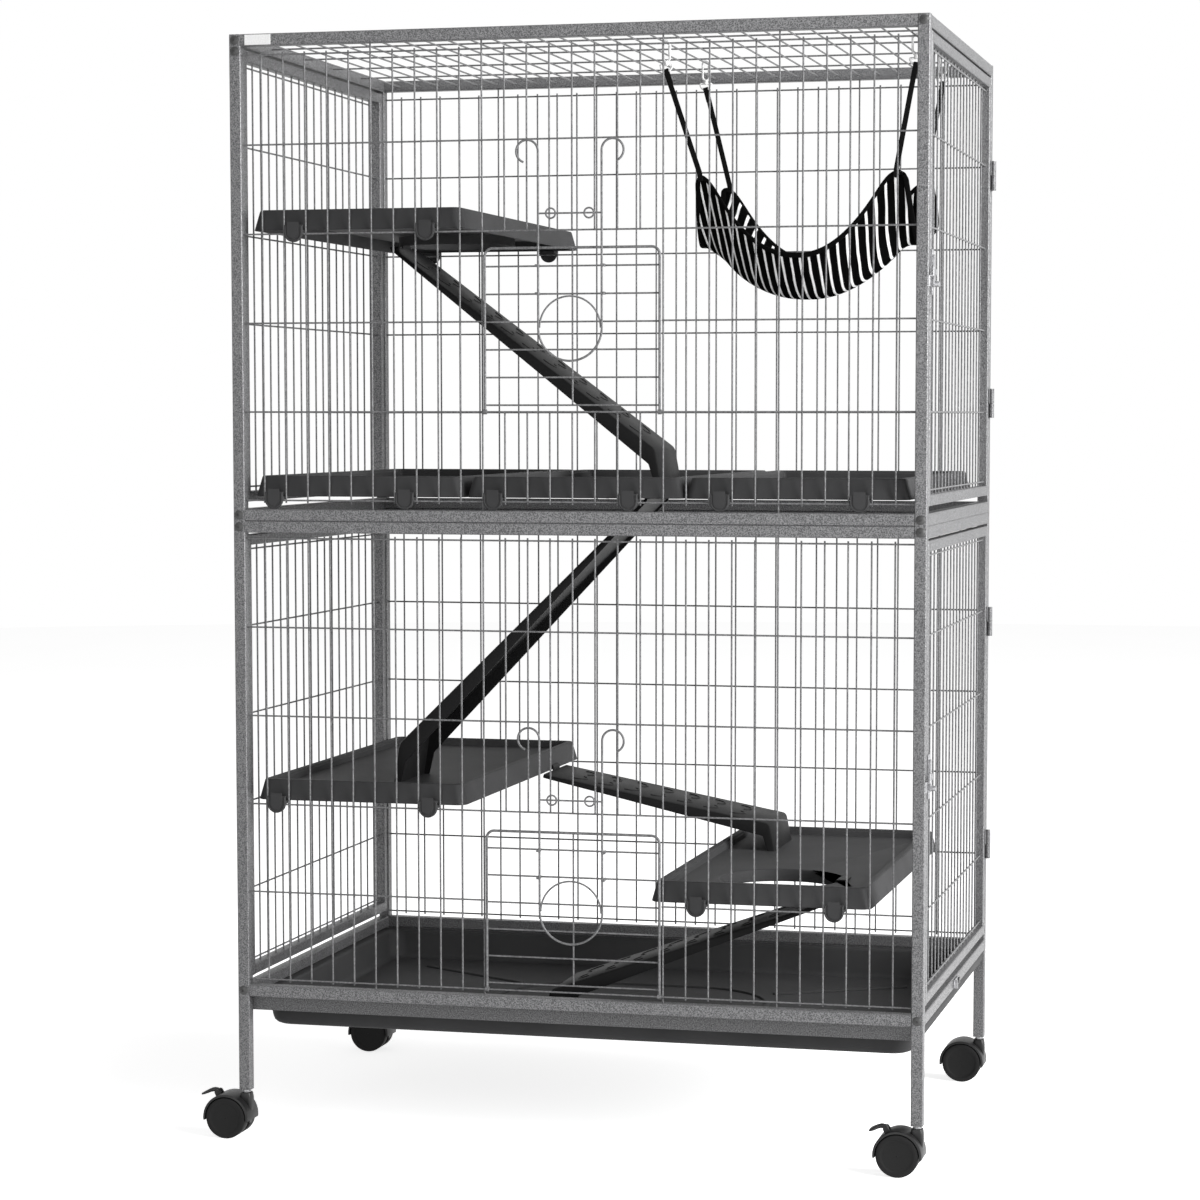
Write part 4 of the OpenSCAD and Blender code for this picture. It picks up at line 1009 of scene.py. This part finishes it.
# The tape's section: distance in from the cloth's edge, and height over its middle
TAPE = ((-1.1, 0.0), (-0.7, 1.1), (0.2, 1.45), (4.6, 1.3), (5.0, 0.8), (5.0, -0.8), (4.6, -1.3),
        (0.2, -1.45), (-0.7, -1.1))


def build_binding(cloth):
    """A folded tape sewn over the cloth's edge."""
    n, m, w = cloth.n, cloth.m, cloth.m + 1
    skin = Skin()
    rings = []
    for k in cloth.edge_ids():
        i, j = divmod(k, w)
        p, up = cloth.at[i][j], cloth.out[i][j]
        q = cloth.at[min(max(i, 2), n - 2)][min(max(j, 2), m - 2)]
        inward = q - p
        inward = (inward - up * inward.dot(up)).normalized()
        rings.append([p + inward * a + up * b for a, b in TAPE])
    skin.loft(rings, looped=True)
    return piece("hammock_binding", skin, finish_of("binding"), "frame", sharp=40)


CLIP_X = (78.13, 364.60)
CLIP_Y = (-130.5, 76.5)
CLIP_WIRE_Z = 1259.97
CLIP_ROD = 1.3
# From the wire down to the foot of a clip, near enough
CLIP_DROP = 33
STRAP_X = (118.0, 342.0)
STRAP_W, STRAP_T = 6, 1.3
# Radius of the strap's fold round the clip's ring
STRAP_FOLD = 2.1


def build_strap(name, sx, sy):
    """A webbing strap sewn to the corner and folded round the clip's ring."""
    side = 0 if sx < 0 else 1
    foot_x = STRAP_X[side] if sy < 0 or side else STRAP_X[0] - HAM_SKEW * 0.7
    foot = Vector((foot_x, HAM_Y + sy * (HAM_D / 2 + 1.6), CORNER_Z - 9))
    ring = Vector((CLIP_X[side], CLIP_Y[max(sy, 0)], CLIP_WIRE_Z - CLIP_DROP + CLIP_ROD))
    near = Vector((foot.x + (ring.x - foot.x) * 0.04, foot.y + sy * 0.5, CORNER_Z + 1))
    run = (ring - near).normalized()
    out = Vector((0, sy, 0))
    r = STRAP_FOLD
    path = [foot, foot.lerp(near, 0.5), near, near.lerp(ring, 0.3) + out * r * 0.5]
    path += [ring - run * 16 + out * r, ring - run * 3 + out * r]
    for k in range(7):
        a = pi * k / 6
        path.append(ring + out * r * cos(a) + run * r * sin(a))
    path += [ring - run * 4 - out * r * 0.6, ring - run * 15 - out * r * 0.2]
    skin = Skin()
    ribbon(skin, path, (run.z, 0, -run.x), STRAP_W, STRAP_T)
    # Bar tacks that hold the fold and the seam
    half = Vector((2.2, 0, 0))
    for where, depth in ((ring - run * 11, r + 0.7), (foot + Vector((0, 0, 4)), 0.8)):
        for k in (-1, 1):
            at = where + out * depth + run * k * 2.2
            tube(skin, [at - half, at + half], 0.35, 6)
    return piece(name, skin, finish_of("webbing"), "frame")


def build_clip(name, x, y):
    """A snap hook: a long loop over the wire, a swivel and a half-round ring."""
    skin = Skin()
    up = CLIP_WIRE_Z - 1.4
    base = up - 15.4
    path = arc(x, up, 4, 0, 180, 10, y) + arc(x, base, 4, 180, 360, 10, y)
    tube(skin, path, CLIP_ROD, 10, looped=True)
    # The gate's sleeve
    tube(skin, [(x + 4, y, up - 2), (x + 4, y, up - 12)], 1.75, 10)
    # The swivel, by radius and height over the ring
    ring_z = CLIP_WIRE_Z - 24.8
    profile = ((2.0, 4.6), (2.6, 4.0), (2.6, 2.6), (2.1, 2.2), (2.6, 1.8), (2.6, -0.4),
               (1.6, -1.2))
    skin.loft([circle_ring(a, ring_z + z, x, y, 16) for a, z in profile])
    path = [(x + 6.2, y, ring_z), *arc(x, ring_z - 0.2, 6.9, -2, -178, 16, y),
            (x - 6.2, y, ring_z)]
    tube(skin, path, CLIP_ROD, 10, looped=True)
    return piece(name, skin, finish_of("clip"), "frame")


class CAGE_OT_hammock(bpy.types.Operator):
    """Hang the striped hammock with its binding, straps and snap hooks"""
    bl_idname = "ferret_cage.hammock"
    bl_label = "Hammock"

    def execute(self, context):
        s = context.scene.ferret_cage
        cloth = Cloth(s.wrinkle / MM)
        uv = cloth.uvs(s.stripe_slant, s.stripe_pitch)
        sheet = piece("hammock_sheet", cloth.skin(CLOTH_THICK), finish_of("cloth"), "frame",
                      ["hammock"], sharp=180, uvs=uv + uv)
        on_it = [build_binding(cloth)]
        for corner, (sx, sy) in CORNERS.items():
            on_it.append(build_strap("strap_" + corner, sx, sy))
            clip = build_clip("clip_" + corner, CLIP_X[max(sx, 0)], CLIP_Y[max(sy, 0)])
        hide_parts("hammock_straps")
        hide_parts("hammock_clips")
        return {"FINISHED"}


# ---- Casters ----

TRAIL = 20.0
MID_X, MID_Y = 393.25, 256.25
WHEEL_R = 24.0
# Radius of the web between the wheels, and of the stem
WEB_R, STEM_R = 25.6, 4.0
# The hood's radius, and how far it reaches below the axle
HOOD_R, HOOD_LOW = 27.6, 3
# The toe brake's pin: direction in degrees and distance from the axle
PIN_AT, PIN_FAR = 118, 31.1
# Radius and distance along the axle
HOOD = ((25.0, -18.4), (26.6, -18.4), (27.3, -18.0), (HOOD_R, -17.2), (HOOD_R, 17.2),
        (27.3, 18.0), (26.6, 18.4), (25.0, 18.4))
WHEEL = ((0.5, 17.4), (16.5, 17.4), (17.6, 17.7), (18.4, 18.2), (19.4, 18.4), (22.3, 18.4),
         (23.4, 17.9), (24.0, 16.8), (24.0, 6.0), (23.5, 4.9), (22.4, 4.4), (0.5, 4.4))
# Height over the axle, half sizes and corner radius of the neck round the stem
NECK = ((4, 6.4, 3.9, 2), (16, 7.4, 6.8, 3), (23, 7.0, 7.4, 3.4), (27.6, 6.4, 6.8, 3.6),
        (28.6, 6.0, 6.4, 3.6), (29.0, 5.2, 5.6, 3.4))
# Radius and height over the floor
STEM = ((STEM_R, 51.0), (STEM_R, 56.4), (3.6, 58), (3.6, 75.0), (3.0, 75.8))
COLLAR = ((4.6, 53.0), (4.9, 53.2), (4.9, 54.0), (4.6, 54.3))
# Distance and height from the axle, half width and half thickness
TOE = ((-12.4, 25.4, 2.6, 1.2), (-14.0, 27.6, 3.4, 2.2), (-16.4, 29.2, 3.5, 2.5),
       (-19.6, 29.7, 3.6, 2.4), (-23.0, 28.9, 5.4, 2.1), (-26.4, 27.4, 7.8, 1.9),
       (-29.6, 26.0, 9.0, 1.7), (-32.2, 25.0, 8.8, 1.3), (-33.0, 24.8, 8.0, 0.7))


def axle(corner):
    """The middle of a caster's axle."""
    sx, sy = CORNERS[corner]
    return sx * MID_X - TRAIL, sy * MID_Y, WHEEL_R


def brake_point(centre, r):
    """The point r from the axle towards the brake's pin."""
    a = radians(PIN_AT)
    return centre[0] + r * cos(a), centre[1], centre[2] + r * sin(a)


def add_pin_ears(skin, centre):
    """The two ears that hold the brake's pin."""
    a = radians(PIN_AT)
    cross = Vector((sin(a), 0, -cos(a)))
    mid, root = Vector(brake_point(centre, PIN_FAR)), Vector(brake_point(centre, 26.0))
    up = (mid - root).normalized()
    points = [root - cross * 3.4, root + cross * 3.4]
    for i in range(11):
        t = pi * i / 10
        points.append(mid + cross * 3 * cos(t) + up * 3 * sin(t))
    for k in (-1, 1):
        skin.loft([[(p.x, centre[1] + k * y, p.z) for p in points] for y in (3.75, 6.25)])


def build_caster(corner):
    centre = axle(corner)
    cx, cy, cz = centre
    stem_x = cx + TRAIL
    skin = Skin()
    low = asin(-HOOD_LOW / HOOD_R)
    lathe_y(skin, HOOD, centre, 56, low, pi - low)
    web = arc(cx, cz, WEB_R, -17, 197, 40)
    skin.loft([[(p.x, cy + y, p.z) for p in web] for y in (-4, 4)])
    skin.loft([rect_ring(hx, hy, r, cz + z, stem_x, cy, 5) for z, hx, hy, r in NECK])
    if "front" in corner:
        add_pin_ears(skin, centre)
    name = "caster_" + corner
    piece(name + "_housing", skin, finish_of("caster"), "swivel_" + corner,
          [name])
    stem = Skin()
    for outline in (STEM, COLLAR):
        stem.loft([circle_ring(r, z, stem_x, cy, 28) for r, z in outline])
    piece(name + "_stem", stem, finish_of("zinc"), "swivel_" + corner)


def build_wheels(corner):
    centre = axle(corner)
    skin = Skin()
    for k in (-1, 1):
        lathe_y(skin, [(r, k * y) for r, y in WHEEL], centre, 72)
    pin_y(skin, centre, 2.9, 5, 20)
    piece("wheels_%s_pair" % corner, skin, finish_of("wheel"), "wheel_" + corner,
          ["wheels_" + corner], sharp=34)


def build_brake(side):
    """The toe lever: an arm from the pivot that spreads into a curved pedal."""
    centre = axle("front_" + side)
    skin = Skin()
    middles = [Vector((centre[0] + x, centre[1], centre[2] + z)) for x, z, _, _ in TOE]
    rings = []
    for i, p in enumerate(middles):
        wide, thick = TOE[i][2:]
        along = forward(middles, i)
        up = Vector((-along.z, 0, along.x))
        ring = []
        for c, d in turns(20):
            ring.append(p + Vector((0, 1, 0)) * wide * copysign(abs(c) ** 0.5, c)
                        + up * thick * copysign(abs(d) ** 0.6, d))
        rings.append(ring)
    skin.loft(rings)
    pin_y(skin, brake_point(centre, PIN_FAR), 1.5, 6.2, 16)
    name = "brake_front_" + side
    piece(name + "_lever", skin, finish_of("caster"), "toe_front_" + side,
          [name])


class CAGE_OT_casters(bpy.types.Operator):
    """Build the twin-wheel casters, their stems and the two toe brakes"""
    bl_idname = "ferret_cage.casters"
    bl_label = "Casters"

    def execute(self, context):
        for corner in CORNERS:
            build_caster(corner)
            build_wheels(corner)
        for side in ("left", "right"):
            build_brake(side)
        return {"FINISHED"}


# ---- Stage ----

def seen_directly(nodes):
    """1 for camera, glossy and transmission rays, and 0 for the rest."""
    path = nodes.add("ShaderNodeLightPath")
    total = path.outputs["Is Camera Ray"]
    for name in ("Is Glossy Ray", "Is Transmission Ray"):
        total = nodes.math("MAXIMUM", total, path.outputs[name])
    return total


def lamp(name, at, to, size, power):
    data = bpy.data.lights.new(name, "AREA")
    data.shape = "DISK"
    data.size = size
    data.energy = power
    obj = bpy.data.objects.new(name, data)
    obj.location = at
    obj.rotation_euler = (Vector(to) - Vector(at)).to_track_quat("-Z", "Y").to_euler()
    bpy.context.scene.collection.objects.link(obj)


def set_world(scene):
    """White where it's seen directly, and a fainter white light for the rest."""
    world = bpy.data.worlds.new("studio")
    scene.world = world
    nodes = Nodes(world)
    mix = nodes.add("ShaderNodeMixShader")
    out = nodes.add("ShaderNodeOutputWorld")
    nodes.plug(seen_directly(nodes), mix.inputs[0])
    for socket, strength in ((1, 0.19), (2, 1.0)):
        light = nodes.add("ShaderNodeBackground")
        nodes.feed(light, Color=(1, 1, 1, 1), Strength=strength)
        nodes.plug(light.outputs[0], mix.inputs[socket])
    nodes.plug(mix.outputs[0], out.inputs[0])


# Radius and level of the floor in metres, just under the wheels
FLOOR_R, FLOOR_Z = 9, -0.0002


def make_floor(scene):
    """A pale disc that glows where it's seen directly, so that it runs into the surround."""
    mesh = bpy.data.meshes.new("floor")
    mesh.from_pydata(circle_ring(FLOOR_R, FLOOR_Z, 0, 0, 64), [], [tuple(range(64))])
    floor = bpy.data.objects.new("floor", mesh)
    scene.collection.objects.link(floor)
    f = Finish("floor", Roughness=0.9, Specular_IOR_Level=0.0)
    f.base(f.two_tone(f.noise(3), grey(0.86), grey(0.88)))
    glow = f.add("ShaderNodeEmission")
    f.feed(glow, Strength=f.math("MULTIPLY", seen_directly(f), 0.78))
    blend = f.add("ShaderNodeAddShader")
    f.plug(f.shader.outputs[0], blend.inputs[0])
    f.plug(glow.outputs[0], blend.inputs[1])
    f.plug(blend.outputs[0], f.out.inputs[0])
    mesh.materials.append(f.mat)
    return floor


def set_camera(scene):
    """The camera that was fitted to the photograph."""
    data = bpy.data.cameras.new("camera")
    data.sensor_width = 36
    data.lens = 93.365
    data.shift_x = -0.03143
    data.shift_y = 0.04572
    data.clip_end = 60
    camera = bpy.data.objects.new("camera", data)
    camera.location = (0.90228, -3.61754, 0.83538)
    camera.rotation_euler = (pi / 2 - 0.0762, 0, 0.2412)
    scene.collection.objects.link(camera)
    scene.camera = camera


class CAGE_OT_stage(bpy.types.Operator):
    """Set up the floor, the white surround, the studio light and the camera"""
    bl_idname = "ferret_cage.stage"
    bl_label = "Stage"

    def execute(self, context):
        scene = context.scene
        scene.view_settings.view_transform = "Standard"
        set_world(scene)
        floor = make_floor(scene)
        lamp("key", (3.5, -1.1, 1.9), (0, 0, 0.7), 3.0, 330)
        lamp("fill", (-0.6, -4.6, 1.6), (0, 0, 0.6), 2.6, 44)
        lamp("top", (0.6, -0.4, 4.2), (0, 0, 0.6), 2.0, 4)
        set_camera(scene)
        return {"FINISHED"}


class CAGE_PT_panel(bpy.types.Panel):
    """The cage's settings and its building steps"""
    bl_idname = "CAGE_PT_panel"
    bl_label = "Ferret cage"
    bl_space_type = "VIEW_3D"
    bl_region_type = "UI"
    bl_category = "Cage"

    def draw(self, context):
        settings = context.scene.ferret_cage
        for name in CageSettings.__annotations__:
            self.layout.prop(settings, name)
        for step in STEPS:
            self.layout.operator(step.bl_idname)


STEPS = (CAGE_OT_stage, CAGE_OT_metalwork, CAGE_OT_trays, CAGE_OT_ramps, CAGE_OT_pan,
         CAGE_OT_hammock, CAGE_OT_casters)
CLASSES = (CageSettings,) + STEPS + (CAGE_PT_panel,)


def register():
    for cls in CLASSES:
        bpy.utils.register_class(cls)
    bpy.types.Scene.ferret_cage = PointerProperty(type=CageSettings)


def unregister():
    del bpy.types.Scene.ferret_cage
    for cls in reversed(CLASSES):
        bpy.utils.unregister_class(cls)


def main():
    register()
    bpy.ops.ferret_cage.stage()
    bpy.ops.ferret_cage.metalwork()
    bpy.ops.ferret_cage.trays()
    bpy.ops.ferret_cage.ramps()
    bpy.ops.ferret_cage.pan()
    bpy.ops.ferret_cage.hammock()
    bpy.ops.ferret_cage.casters()


if __name__ == "__main__":
    main()
